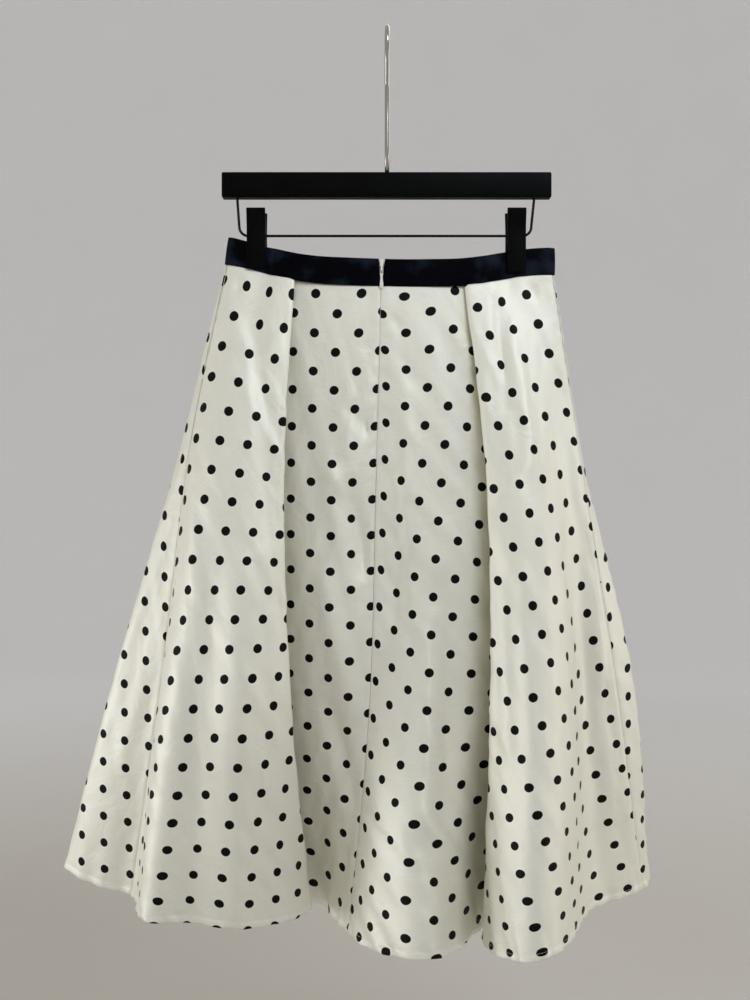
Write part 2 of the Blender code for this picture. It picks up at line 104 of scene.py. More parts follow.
# name, steps to the next row, then x y at the waist, at 0.30, at 0.65 and at the hem
RING = (
    ("CB",    3,   -6.3, -11.2,  -11.5,   -20,  -18.5,   -38,    -41,   -26),
    ("cl1",   3,    -34, -10.6,    -42,   -25,    -42,   -37,    -58,     6),
    ("cl2",   3,    -72,  -9.4,    -84,   -21,    -78,   -26,    -72,    30),
    ("inL",   3,    -97,  -6.9,   -118,   -12,   -122,    -8,   -112,    32),
    ("TLa",   2,   -111,  -5.7,   -150,    -7,   -180,     5,   -205,    24),
    ("TL",    2,  -112.3, -6.85,   -155,   -12,   -189,    -4,   -216,    13),
    ("TLb",   3,   -111,  -8.0,   -150,   -17,   -180,   -13,   -205,     2),
    ("unL",   3,   -105,  -8.7,   -127,   -26,   -133,   -29,   -138,    10),
    ("FLa",   2,  -98.6,  -9.1,   -111,   -31,   -106,   -41,    -92,    13),
    ("FL",    2,  -96.6, -10.3,   -105,   -37,    -97,   -50,    -80,     3),
    ("FLb",   3,  -98.6, -11.5,   -111,   -43,   -105,   -61,    -88,   -16),
    ("bl1",   3,  -113.5, -10.2,   -130,   -49,   -130,   -74,   -114,   -48),
    ("bl2",   3,  -126,  -4.4,   -158,  -48,    -166,  -77,   -160,  -68),
    ("bl3",   3,  -144,  -4.0,   -184,  -38,    -204,  -68,   -208,  -74),
    ("bl4",   3,   -159,  -3.7,   -198,   -25,   -223,   -46,   -240,   -66),
    ("SL",    2,  -167.6,  -2.1,   -206,   -14,  -233.5,   -21,   -268,    -6),
    ("el1",   2,  -168.9,  -0.9,   -214,    -6,   -259,   -10,   -309,     6),
    ("EL",    2,  -169.2,   0.6,   -218,     3,  -283.5,     4,   -347,    31),
    ("fl1",   3,   -163,   3.6,   -207,    20,   -274,    34,   -338,    66),
    ("fl2",   3,  -145,   4.0,   -185,   37,    -248,   64,   -298,   95),
    ("fl3",   3,  -125,   4.5,   -150,   47,    -196,   77,   -235,  106),
    ("fl4",   3,   -98,  11.2,   -116,   50,    -138,   76,   -168,  100),
    ("GLb",   2,   -76,  12.7,    -86,   49,     -93,   72,   -103,   92),
    ("GL",    2,   -74,  11.5,    -80,   43,     -84,   63,    -91,   82),
    ("GLa",   3,   -76,  10.3,    -86,   37,     -93,   54,   -103,   72),
    ("ULb",   2,   -95,   9.4,   -122,   31,    -150,   48,   -174,   68),
    ("UL",    2, -96.3,   8.3,   -127,   26,    -157,   41,   -183,   60),
    ("ULa",   3,   -95,   7.2,   -122,   21,    -150,   34,   -174,   52),
    ("gl1",   3,   -74,   8.2,    -90,   25,    -104,   38,   -122,   52),
    ("gl2",   3,   -48,  10.7,    -52,   36,     -56,   57,    -62,   80),
    ("CF",    3,   -14,  11.4,    -15,   44,     -15,   73,    -14,  109),
    ("gr2",   3,    22,  11.4,     24,   42,      30,   66,     38,   95),
    ("gr1",   3,    50,  10.5,     60,   33,      68,   47,     80,   64),
    ("URa",   2,    97,   7.2,    122,   18,     148,   29,    166,   42),
    ("UR",    2,  98.3,   8.3,    127,   23.5,   155,   36,    175,   51),
    ("URb",   3,    97,   9.4,    122,   29,     148,   43,    166,   60),
    ("GRa",   2,    80,  10.3,     90,   36,      96,   53,     99,   70),
    ("GR",    2,    78,  11.5,     84,   42,      87,   62,     88,   81),
    ("GRb",   3,    80,  12.7,     90,   48,      96,   71,     99,   94),
    ("fr4",   3,   102,  10.9,    116,   51,     130,   79,    142,  108),
    ("fr3",   3,   124,   4.5,    146,   48,     172,   79,    196,  114),
    ("fr2",   3,   146,   4.0,    178,   37,     214,   65,    242,  101),
    ("fr1",   3,   168,   3.4,    201,   21,     246,   42,    279,   82),
    ("ER",    2,    175,   0.4,  206.5,     4,    258,    15,    290,    58),
    ("SR",    3,  173.8,  -2.0,    203,    -8,    240,    -3,    278,    36),
    ("rb6",   2,   168,  -3.4,    197,  -13,     225,   -5,    252,   21),
    ("rb5",   2,   160,  -3.9,    187,  -18,     207,   -9,    222,    6),
    ("rb4",   2,   150,  -4.0,   176,  -26,     197,  -21,    203,  -22),
    ("rb3",   3,   140,  -4.1,   164,  -37,     185,  -52,    182,  -79),
    ("rb2",   3,   124,  -4.5,   148,  -46,     165,  -80,    159, -124),
    ("rb1",   3,   108, -10.2,   130,  -49,     139,  -91,    134, -138),
    ("rb0",   3,    98, -11.2,    114,  -46,     118,  -82,    112, -116),
    ("FRb",   2,    83, -11.6,    106,  -42,     107,  -67,     98,  -78),
    ("FR",    2,  80.6, -10.4,    101,  -37,     102,  -57,     95,  -53),
    ("FRa",   3,    83,  -9.2,    106,  -31,     108,  -47,    102,  -37),
    ("TRb",   2,   100,  -8.3,    137,  -26,     157,  -30,    166,  -21),
    ("TR",    2, 101.3,  -7.15,   142,  -20,     165,  -21,    176,   -9),
    ("TRa",   3,   100,  -6.0,    137,  -14,     157,  -12,    166,    3),
    ("cr3",   3,    74,  -8.6,     95,  -21,      98,  -29,    101,  -12),
    ("cr2",   3,    52, -10.5,     64,  -27,      64,  -48,     70,  -68),
    ("cr1",   3,    22, -11.2,     26,  -27,      25,  -52,     34, -105),
    ("cr0",   2,      6, -11.3,      4,   -23,      0,   -45,    -13,   -76),
)

# the band in plan: x and its distance from the middle plane; then its two ends
BAND_PLAN = (
    (-164.5, 3.3), (-157, 3.9), (-145, 4.0), (-126, 4.2), (-119.5, 7.4), (-113, 9.9),
    (-60, 11.3), (0, 11.4), (60, 11.3), (108, 9.6), (116, 7.0), (124, 4.2),
    (144, 4.0), (160, 3.9), (170.5, 3.3),
)
BAND_ENDS = (-169.2, 175.0)
BAND_END_REACH = 22.0  # how far from an end the band leans with it
BAND_SIDE_LEAN = 3.8
# its lower edge: x and z
BAND_LOW = (
    (-175, -244.5), (-160, -247.5), (-140, -252.0), (-118, -258.5), (-95, -264.0),
    (-70, -267.5), (-40, -269.2), (0, -270.2), (45, -270.6), (80, -269.6),
    (105, -266.2), (125, -261.5), (150, -257.8), (180, -256.5),
)
# x of its two ends at the zip, at its top and at its lower edge
BAND_GAP_TOP = (-8.7, -2.1)
BAND_GAP_LOW = (-6.5, -6.1)

# Soft folds in the cloth: the lines between which it lies, its kind, half width, depth
# outwards, and the places x z that it passes.  A step is high on its left.
CREASES = (
    # left back: hip, below the clip, then the long folds to the hem
    ("FLb", "SL",  "step", 11.0,  1.0,
     ((-152, -300), (-143, -339), (-133, -377), (-124, -409), (-115, -440))),
    ("FLb", "bl3", "soft", 13.0, -1.8, ((-127, -350), (-122, -450), (-124, -540))),
    ("FLb", "SL",  "soft", 12.0,  0.9, ((-160, -262), (-163, -330), (-176, -420))),
    ("FLb", "SL",  "soft",  5.0, -0.9, ((-150, -256), (-158, -275))),
    ("FLb", "SL",  "soft", 20.0, -3.0, ((-168, -500), (-182, -650), (-190, -800), (-196, -925))),
    ("FLb", "SL",  "soft", 17.0,  2.6, ((-142, -540), (-146, -700), (-150, -925))),
    ("FLb", "SL",  "soft", 15.0,  2.4, ((-213, -620), (-224, -760), (-234, -915))),
    # left back, next to the centre seam
    ("CB",  "cl2", "soft",  6.0,  1.1, ((-67, -455), (-52, -474), (-37, -493))),
    ("CB",  "cl2", "soft",  8.0, -1.3, ((-44, -392), (-30, -408), (-17, -424))),
    ("CB",  "cl2", "soft", 11.0, -2.2, ((-42, -470), (-30, -520), (-24, -575))),
    ("CB",  "cl2", "soft", 12.0,  2.2, ((-66, -560), (-50, -650), (-30, -720))),
    ("CB",  "cl2", "soft", 10.0, -2.0, ((-64, -690), (-46, -750), (-34, -810))),
    # puckers beside the zip
    ("CB",  "cl2", "soft",  3.0, -0.8, ((-28, -276), (-18, -283), (-8, -286))),
    ("CB",  "cl2", "soft",  3.0,  0.6, ((-50, -276), (-38, -283), (-30, -292))),
    ("CB",  "cl2", "soft",  4.0, -0.6, ((-34, -330), (-20, -334), (-9, -332))),
    ("cr2", "CB",  "soft",  3.5, -0.6, ((-5, -300), (6, -306), (16, -316))),
    # right back, next to the centre seam
    ("cr3", "CB",  "soft", 10.0,  1.7, ((20, -370), (21, -470), (19, -560))),
    ("cr3", "CB",  "soft", 12.0, -1.6, ((14, -490), (10, -560), (4, -640))),
    ("cr3", "CB",  "soft", 14.0, -2.2, ((58, -560), (66, -700), (60, -820))),
    ("cr3", "CB",  "soft",  6.0,  1.3, ((30, -790), (48, -822), (70, -846))),
    ("cr3", "CB",  "soft",  6.0, -1.2, ((22, -815), (40, -850), (66, -876))),
    ("cr3", "CB",  "soft", 12.0,  2.0, ((44, -600), (40, -720), (26, -850))),
    ("cr3", "CB",  "soft", 24.0,  2.4, ((16, -770), (24, -850), (30, -940))),
    ("cr3", "CB",  "soft",  5.0, -0.9, ((34, -690), (52, -722), (66, -760))),
    # right back: hip, below the clip, then the long folds
    ("SR",  "FRb", "soft",  7.0, -1.6, ((112, -276), (118, -340), (124, -410))),
    ("SR",  "FRb", "soft",  8.0,  1.4, ((128, -300), (138, -380), (146, -470))),
    ("SR",  "FRb", "soft",  5.0, -0.9, ((148, -262), (156, -282))),
    ("SR",  "FRb", "soft", 11.0, -1.8, ((118, -560), (122, -700), (118, -840))),
    ("SR",  "FRb", "soft", 12.0,  2.0, ((214, -560), (222, -700), (236, -840))),
    # front
    ("fl1", "GLb", "step",  8.0,  2.4, ((-150, -300), (-140, -350), (-122, -440))),
    ("fl1", "GLb", "soft", 18.0, -3.0, ((-160, -500), (-190, -700), (-215, -900))),
    ("fl1", "GLb", "soft", 15.0,  2.4, ((-130, -520), (-150, -700), (-160, -910))),
    ("gl1", "gr1", "soft", 14.0, -2.4, ((-32, -420), (-36, -620), (-44, -900))),
    ("gl1", "gr1", "soft", 13.0,  2.2, ((26, -380), (32, -600), (30, -880))),
    ("gl1", "gr1", "soft",  6.0,  1.2, ((-6, -500), (10, -530), (26, -552))),
    ("GRb", "fr1", "soft", 16.0, -2.8, ((150, -440), (176, -660), (196, -890))),
    ("GRb", "fr1", "soft",  8.0,  1.6, ((112, -300), (122, -380), (132, -470))),
    ("fr1", "ER",  "soft", 12.0,  1.6, ((208, -470), (250, -640), (280, -850))),
)


# ------------------------------------------------------------ settings
def hex_colour(text):
    """sRGB hex to the linear colour that shaders take."""
    parts = [int(text.lstrip("#")[i:i + 2], 16) / 255 for i in (0, 2, 4)]
    return tuple(c / 12.92 if c <= 0.04045 else ((c + 0.055) / 1.055) ** 2.4
                 for c in parts) + (1.0,)


def colour_prop(name, text, description):
    return FloatVectorProperty(name=name, description=description, subtype="COLOR", size=4,
                               min=0.0, max=1.0, default=hex_colour(text))


def length_prop(name, value_mm, description):
    return FloatProperty(name=name, description=description, subtype="DISTANCE", unit="LENGTH",
                         default=value_mm * 0.001, min=0.0)


class SkirtClothSettings(bpy.types.PropertyGroup):
    """Sizes and colours of the skirt's cloth"""
    satin: colour_prop("Satin", "#F1EFE1", "Colour of the cloth")
    # painted shade: the yellowish colour that the cloth inside the pleats is mixed towards, for the
    # shade and warm bounced light in them
    pleat_shade: colour_prop("Fold tint", "#D8D4AE", "Colour of the cloth inside the pleats")
    dot: colour_prop("Dot", "#090908", "Colour of the printed dots")
    dot_size: length_prop("Dot size", 9.9, "Diameter of a dot")
    dot_across: length_prop("Dots across", 46.2, "Distance between dots across the grain")
    dot_down: length_prop("Dots down", 40.6, "Distance between dots along the grain")
    stitch: length_prop("Stitch", 2.6, "Length of a hem stitch")
    stitch_gap: length_prop("Stitch gap", 0.9, "Space between hem stitches")


class SkirtBandSettings(bpy.types.PropertyGroup):
    """Colours of the waistband and zip"""
    satin: colour_prop("Band", "#020205", "Colour of the waistband")
    metal: colour_prop("Zip", "#EDE8DC", "Enamel of the slider and pull")
    tape: colour_prop("Tape", "#E9E5D9", "Colour of the zip's tape")


class SkirtHangerSettings(bpy.types.PropertyGroup):
    """Colours of the hanger"""
    plastic: colour_prop("Plastic", "#030303", "Colour of the bar and clips")
    wire: colour_prop("Wire", "#070707", "Colour of the wire loop")
    hook: colour_prop("Hook", "#B4B0AA", "Colour of the hook's plating")


class SkirtStageSettings(bpy.types.PropertyGroup):
    """Floor, light and camera"""
    backdrop: colour_prop("Backdrop", "#FBFCFF", "Colour of the floor and backdrop")
    distance: FloatProperty(name="Camera distance", subtype="DISTANCE", unit="LENGTH",
                            description="From the camera to the hanger's plane",
                            default=1.15, min=0.3)
    key: FloatProperty(name="Key light", subtype="POWER", unit="POWER",
                       description="Power of the large soft light", default=12.4, min=0.0)


# ------------------------------------------------------------ helpers
def hermite(ts, vs, t):
    """Smooth curve through (ts, vs); vs may hold arrays."""
    n = len(ts)
    i = 0
    while i < n - 2 and t > ts[i + 1]:
        i += 1

    def slope(k):
        if k == 0:
            return (vs[1] - vs[0]) / (ts[1] - ts[0])
        if k == n - 1:
            return (vs[-1] - vs[-2]) / (ts[-1] - ts[-2])
        a = (vs[k] - vs[k - 1]) / (ts[k] - ts[k - 1])
        b = (vs[k + 1] - vs[k]) / (ts[k + 1] - ts[k])
        w = (ts[k + 1] - ts[k]) / (ts[k + 1] - ts[k - 1])
        return a * w + b * (1 - w)

    h = ts[i + 1] - ts[i]
    u = (t - ts[i]) / h
    return ((2 * u ** 3 - 3 * u ** 2 + 1) * vs[i] + (u ** 3 - 2 * u ** 2 + u) * h * slope(i)
            + (-2 * u ** 3 + 3 * u ** 2) * vs[i + 1] + (u ** 3 - u ** 2) * h * slope(i + 1))


def through(table, x):
    """The table's second column at x, held at its ends."""
    xs = [r[0] for r in table]
    return hermite(xs, [r[1] for r in table], min(max(x, xs[0]), xs[-1]))


def spline(p0, p1, p2, p3, u):
    """Centripetal Catmull-Rom between p1 and p2 at each u."""
    p0, p1, p2, p3 = (np.asarray(p, float) for p in (p0, p1, p2, p3))
    u = np.asarray(u, float).reshape(-1, 1)
    gap = lambda a, b: max(float(np.linalg.norm(b - a)), 1e-6) ** 0.5
    t0 = 0.0
    t1 = t0 + gap(p0, p1)
    t2 = t1 + gap(p1, p2)
    t3 = t2 + gap(p2, p3)
    t = t1 + (t2 - t1) * u
    mix = lambda a, b, ta, tb: ((tb - t) * a + (t - ta) * b) / (tb - ta)
    a1, a2, a3 = mix(p0, p1, t0, t1), mix(p1, p2, t1, t2), mix(p2, p3, t2, t3)
    return mix(mix(a1, a2, t0, t2), mix(a2, a3, t1, t3), t1, t2)


def curve_points(points, per):
    """An open smooth curve through points, `per` steps a span."""
    pts = [np.asarray(p, float) for p in points]
    ext = [2 * pts[0] - pts[1]] + pts + [2 * pts[-1] - pts[-2]]
    u = np.arange(per) / per
    out = [spline(*ext[i:i + 4], u) for i in range(len(pts) - 1)]
    return np.vstack(out + [pts[-1].reshape(1, -1)])


def arc(cx, cy, r, a0, a1, n):
    """Points on a circle from a0 to a1 degrees, n steps."""
    return [(cx + r * math.cos(math.radians(a0 + (a1 - a0) * k / n)),
             cy + r * math.sin(math.radians(a0 + (a1 - a0) * k / n))) for k in range(n + 1)]


def link(ob):
    bpy.context.scene.collection.objects.link(ob)
    return ob


def mesh_piece(name, verts_mm, faces, material, smooth=True, outward=True):
    """A new object from corners in mm."""
    me = bpy.data.meshes.new(name)
    me.from_pydata((np.asarray(verts_mm, float) * 0.001).tolist(), [], faces)
    if outward:
        bm = bmesh.new()
        bm.from_mesh(me)
        bmesh.ops.recalc_face_normals(bm, faces=bm.faces)
        bm.to_mesh(me)
        bm.free()
    if smooth:
        me.polygons.foreach_set("use_smooth", [True] * len(me.polygons))
    me.materials.append(material)
    return link(bpy.data.objects.new(name, me))


def applied(ob):
    """The object with its modifiers made into its mesh."""
    deps = bpy.context.evaluated_depsgraph_get()
    me = bpy.data.meshes.new_from_object(ob.evaluated_get(deps), depsgraph=deps)
    ob.modifiers.clear()
    ob.data = me
    return ob


def bevelled(ob, width_mm, segments, angle):
    """Rounds the edges that are sharper than angle, and shades the rest smooth."""
    mod = ob.modifiers.new("edge", "BEVEL")
    mod.width = width_mm * 0.001
    mod.segments = segments
    mod.limit_method = "ANGLE"
    mod.angle_limit = math.radians(angle)
    ob = applied(ob)
    ob.data.polygons.foreach_set("use_smooth", [True] * len(ob.data.polygons))
    smooth_by_angle(ob.data, 40)
    return ob


def smooth_by_angle(me, degrees):
    """Marks the mesh's edges that are sharper than this as sharp."""
    bm = bmesh.new()
    bm.from_mesh(me)
    for e in bm.edges:
        if len(e.link_faces) == 2 and e.calc_face_angle(0) > math.radians(degrees):
            e.smooth = False
    bm.to_mesh(me)
    bm.free()


def prism(name, outline, axis, a, b, material):
    """An outline drawn out from a to b along x or y."""
    place = {"x": lambda p, t: (t, p[0], p[1]), "y": lambda p, t: (p[0], t, p[1])}[axis]
    n = len(outline)
    verts = [place(p, a) for p in outline] + [place(p, b) for p in outline]
    faces = [list(range(n))[::-1], list(range(n, 2 * n))]
    faces += [[i, (i + 1) % n, n + (i + 1) % n, n + i] for i in range(n)]
    return mesh_piece(name, verts, faces, material, smooth=False)


def tube(name, path, radius, sides, material, tip=False):
    """A round wire along a path.  Its end is rounded where tip is set."""
    pts = [Vector(p) for p in path]
    radii = [radius] * len(pts)
    if tip:
        d = (pts[-1] - pts[-2]).normalized()
        base = pts[-1] - d * radius
        turns = [math.radians(a) for a in (0, 25, 50, 75, 88)]
        pts = pts[:-1] + [base + d * radius * math.sin(a) for a in turns]
        radii = radii[:-1] + [radius * math.cos(a) for a in turns]
    n = len(pts)
    up = Vector((1, 0, 0)) if abs((pts[1] - pts[0]).normalized().x) < 0.9 else Vector((0, 1, 0))
    verts, faces, last = [], [], None
    for i, p in enumerate(pts):
        d = (pts[min(i + 1, n - 1)] - pts[max(i - 1, 0)]).normalized()
        side = d.cross(up).normalized()
        if last is not None and side.dot(last) < 0:
            side = -side
        last = side
        other = d.cross(side)
        for k in range(sides):
            a = 2 * math.pi * k / sides
            verts.append(tuple(p + side * (math.cos(a) * radii[i])
                               + other * (math.sin(a) * radii[i])))
    for i in range(n - 1):
        for k in range(sides):
            faces.append([i * sides + k, i * sides + (k + 1) % sides,
                          (i + 1) * sides + (k + 1) % sides, (i + 1) * sides + k])
    faces += [list(range(sides))[::-1], [(n - 1) * sides + k for k in range(sides)]]
    return mesh_piece(name, verts, faces, material)


# ------------------------------------------------------------ cloth form
NAMES = [r[0] for r in RING]
STARTS = np.concatenate([[0], np.cumsum([r[1] for r in RING])])
STATIONS = [np.array([r[2 + 2 * k:4 + 2 * k] for r in RING], float) for k in range(4)]
SUB = 4                # steps of the fine cloth in each step of the table
AROUND = int(STARTS[-1]) * SUB         # fine steps once round the ring
EASE = (0.08, 0.25, 0.5)       # extra columns close to a seam, in fine steps


def line_at(name):
    """Place of a named line in the ring, in fine steps."""
    return int(STARTS[NAMES.index(name)]) * SUB


def stretch(first, last):
    """Places of two lines, the second one after the first round the ring."""
    a, b = line_at(first), line_at(last)
    return a, b + AROUND if b <= a else b


def ring_at(s):
    """The ring in plan at part s of the length, in fine steps."""
    pts = hermite(LEVELS, STATIONS, s)
    n = len(pts)
    out = []
    for i, row in enumerate(RING):
        steps = row[1] * SUB
        q = [pts[(i + k) % n] for k in (-1, 0, 1, 2)]
        out.append(spline(*q, np.arange(steps) / steps))
    return np.vstack(out)


def row_places():
    """Distances down the cloth: closer at the band and at the hem's turn."""
    top = [0.0, 2.0, 4.5, 8.0, 12.5]
    body = list(np.linspace(18.0, LENGTH - 14.0, 112))
    hem = [LENGTH - d for d in (HEM_H + 2.2, HEM_H + 0.9, HEM_H, HEM_H - 0.9, 5.0, 2.4, 0.8, 0.0)]
    return np.array(top + body + hem)


ROW_T = row_places()
RING_ROWS = np.array([ring_at(t / LENGTH) for t in ROW_T])           # row, place, xy


def band_low(x):
    """Height of the band's lower edge at each x."""
    return np.array([through(BAND_LOW, v) for v in np.atleast_1d(x)])


def panel_middle(first, last):
    """Middle surface of a panel (column, row, xyz) with one spare column at each side,
    and each column's place in the table."""
    a, b = stretch(first, last)
    places = np.concatenate([[a - 1, a], a + np.array(EASE), np.arange(a + 1, b),
                             b - np.array(EASE)[::-1], [b, b + 1]])
    low = np.floor(places).astype(int)
    part = (places - low)[None, :, None]
    plans = (RING_ROWS[:, low % AROUND] * (1 - part)
             + RING_ROWS[:, (low + 1) % AROUND] * part)                # row, column, xy
    for end, way in ((1, 1), (-2, -1)):                                # stand back from the seam
        d = plans[:, end + 1] - plans[:, end - 1]
        d /= np.linalg.norm(d, axis=1, keepdims=True)
        plans[:, end] += d * way * STAND_BACK
    step = np.diff(ROW_T)[:, None]
    move = np.linalg.norm(np.diff(plans, axis=0), axis=2)
    drop = np.sqrt(np.maximum(step ** 2 - move ** 2, 0.01))
    top = band_low(plans[0, :, 0]) - SEAM + TUCK
    z = np.vstack([top[None], top[None] - np.cumsum(drop, axis=0)])
    return np.concatenate([plans, z[:, :, None]], axis=2).transpose(1, 0, 2), places


def directions(mid):
    """Outward directions of a surface given as column, row, xyz."""
    across = np.zeros_like(mid)
    seg = np.diff(mid, axis=0)
    seg /= np.maximum(np.linalg.norm(seg, axis=2, keepdims=True), 1e-9)
    across[1:-1] = seg[:-1] + seg[1:]
    across[0], across[-1] = seg[0], seg[-1]
    down = np.gradient(mid, axis=1)
    out = np.cross(across, down)
    return out / np.maximum(np.linalg.norm(out, axis=2, keepdims=True), 1e-9)


def along_ring(mid):
    """Distance along each row from its first column."""
    d = np.linalg.norm(np.diff(mid[:, :, :2], axis=0), axis=2)
    return np.vstack([np.zeros((1, mid.shape[1])), np.cumsum(d, axis=0)])


CREASE_GAIN = 2.2      # how much stronger the folds show than CREASES gives them
CREASE_FADE = 4        # fine steps over which a fold fades out past its two lines
HEM_Z = -890           # a fold whose path ends below this runs out at the hem


def crease_heights(mid, places):
    """How far the soft folds lift the cloth at each point."""
    out = np.zeros(mid.shape[:2])
    x, z = mid[:, :, 0], mid[:, :, 2]
    for first, last, kind, width, depth, path in CREASES:
        a, b = stretch(first, last)
        q = places.copy()
        q[q < a - 2] += AROUND
        inside = (np.clip((q - a) / CREASE_FADE + 1, 0, 1)
                  * np.clip((b - q) / CREASE_FADE + 1, 0, 1))
        inside = inside * ((q > a - CREASE_FADE) & (q < b + CREASE_FADE))
        if not inside.any():
            continue
        line = curve_points(path, 6)
        seg = np.linalg.norm(np.diff(line, axis=0), axis=1)
        run = np.concatenate([[0], np.cumsum(seg)])
        best = np.full(x.shape, 1e9)
        side = np.zeros(x.shape)
        place = np.zeros(x.shape)
        for i in range(len(line) - 1):
            p, d = line[i], line[i + 1] - line[i]
            t = np.clip(((x - p[0]) * d[0] + (z - p[1]) * d[1]) / (d @ d), 0, 1)
            ex, ez = x - p[0] - t * d[0], z - p[1] - t * d[1]
            dist = np.hypot(ex, ez)
            near = dist < best
            best[near] = dist[near]
            side[near] = np.sign(ex)[near]
            place[near] = (run[i] + t * seg[i])[near]
        u = place / run[-1]
        taper = np.sin(np.pi * np.clip(u, 0.0, 1.0)) ** 0.6
        if path[-1][1] < HEM_Z:
            taper = np.where(u > 0.5, 1.0, taper)
        if kind == "soft":
            f = np.exp(-(best / width) ** 2)
        else:
            f = -np.tanh(best * side / (0.55 * width)) * np.exp(-(best / (2.6 * width)) ** 2)
        out += inside[:, None] * taper * depth * f * CREASE_GAIN
    return out


# the cloth's slight unevenness: height, its wavelengths along a row and down the cloth; three
# of each are summed, which is some 1.7 times as high as one
WAVES = ((0.55, 46, 190), (0.4, 30, 120), (0.28, 21, 70), (0.16, 12, 44))
# the hem's puckers: height, wavelength, over the last PUCKER_UP of the cloth
PUCKERS = ((1.0, 37.0), (0.7, 21.0), (0.5, 12.5))
PUCKER_UP = 46


def small_waves(arcs, t, seed):
    """Slight unevenness that hung satin has, and the hem's puckers."""
    rng = np.random.default_rng(seed)
    out = np.zeros(arcs.shape)
    for amp, wa, wt in WAVES:
        for _ in range(3):
            pa, pt, lean = rng.uniform(0, WAVE), rng.uniform(0, WAVE), rng.uniform(-0.5, 0.5)
            k = rng.uniform(0.8, 1.25)
            out += (amp / 1.7 * np.sin(arcs * WAVE / (wa * k) + pa + lean * t / 60)
                    * np.sin(t * WAVE / (wt * k) + pt))
    out *= np.clip(t / 60, 0.25, 1.0)                # less below the band
    hem = np.clip((t - (LENGTH - PUCKER_UP)) / PUCKER_UP, 0, 1) ** 2
    pucker = np.zeros(arcs.shape)
    for amp, wave in PUCKERS:
        drift = rng.uniform(0, WAVE)
        uneven = 1.3 * np.sin(arcs * WAVE / 190 + drift)
        pucker += amp * np.sin(arcs * WAVE / wave + drift + uneven)
    return out + hem * pucker


PANELS = {
    "skirt_back_left":  dict(first="CB", last="SL", seed=11),
    "skirt_back_right": dict(first="SR", last="CB", seed=12),
    "skirt_front":      dict(first="SL", last="SR", seed=13),
}

# How the print lies on each stretch of cloth between the hidden parts of the folds.
# anchor: the line that lies at this angle (degrees) on the flat circle; first, last: the
# stretch; far: the line at which a is 1.  across, down: the print's drift from the plain
# circle, mm, one number for each of POWERS, where a runs from the anchor line to the far
# line and s from the band to the hem.
# The front's two side stretches mirror each other.
POWERS = ((0, 0), (1, 0), (0, 1), (2, 0), (1, 1), (0, 2), (3, 0), (2, 1), (1, 2), (0, 3),
          (4, 0), (3, 1), (2, 2), (1, 3), (0, 4))            # of a, of s
PRINT = {
    "skirt_back_left": (
        dict(anchor="CB", angle=0.0, first="CB", last="TLa", far="inL",
             across=(-4.4, 2.5, 50.9, 6.7, -66.7, -95.5, -8.5, 13.1, 59.6, 46.1),
             down=(-15.0, 19.4, 34.3, -44.1, -7.5, -198.3, 19.1, 11.7, -1.4, 111.5)),
        dict(anchor="SL", angle=-54.0, first="FLa", last="SL", far="FL",
             across=(-3.9, 26.4, 268.7, 13.4, -150.5, -540.1, -30.8, 106.2, 101.8, 645.5,
                     10.9, -16.0, -90.6, 41.8, -334.5),
             down=(-8.9, -22.4, -102.9, 108.5, 272.8, 159.7, -197.2, -126.4, -665.1, -74.0,
                   99.6, 35.8, 77.6, 433.1, -53.0)),
    ),
    "skirt_back_right": (
        dict(anchor="SR", angle=50.0, first="SR", last="FRa", far="FR",
             across=(-14.8, 42.0, -128.3, -117.3, -230.8, 229.1, 84.6, 317.9, 15.3, -222.1,
                     -12.5, -133.1, -98.0, 185.4, 83.9),
             down=(-13.2, -4.6, -41.6, 140.4, -49.1, -80.8, -291.5, 96.5, 103.9, 123.3,
                   162.5, -105.8, 23.4, -33.5, -84.7)),
        dict(anchor="CB", angle=0.0, first="TRa", last="CB", far="cr3",
             across=(2.8, -2.8, -121.3, -31.7, 203.4, 308.0, 25.0, -71.8, -146.6, -225.0),
             down=(-7.8, 12.6, -78.8, -68.7, 108.8, 83.9, 38.3, -19.5, -80.0, -70.4)),
    ),
    "skirt_front": (
        dict(anchor="SL", angle=38.0, first="SL", last="GLa", far="fl2",
             across=(-10.7, -12.3, -80.6, 0.0, 8.4, 67.7),
             down=(-15.5, -36.5, 24.3, 0.0, 24.9, -48.2)),
        dict(anchor="CF", angle=0.0, first="ULb", last="URb", far="gl1",
             across=(8.0,), down=(12.0,)),
        dict(anchor="SR", angle=-38.0, first="GRa", last="SR", far="fr2",
             across=(10.7, 12.3, 80.6, 0.0, -8.4, -67.7),
             down=(-15.5, -36.5, 24.3, 0.0, 24.9, -48.2)),
    ),
}
# past this a the drift stays as it is
A_LIMIT = {"skirt_front": 0.6, "skirt_back_left": 1.02, "skirt_back_right": 1.02}


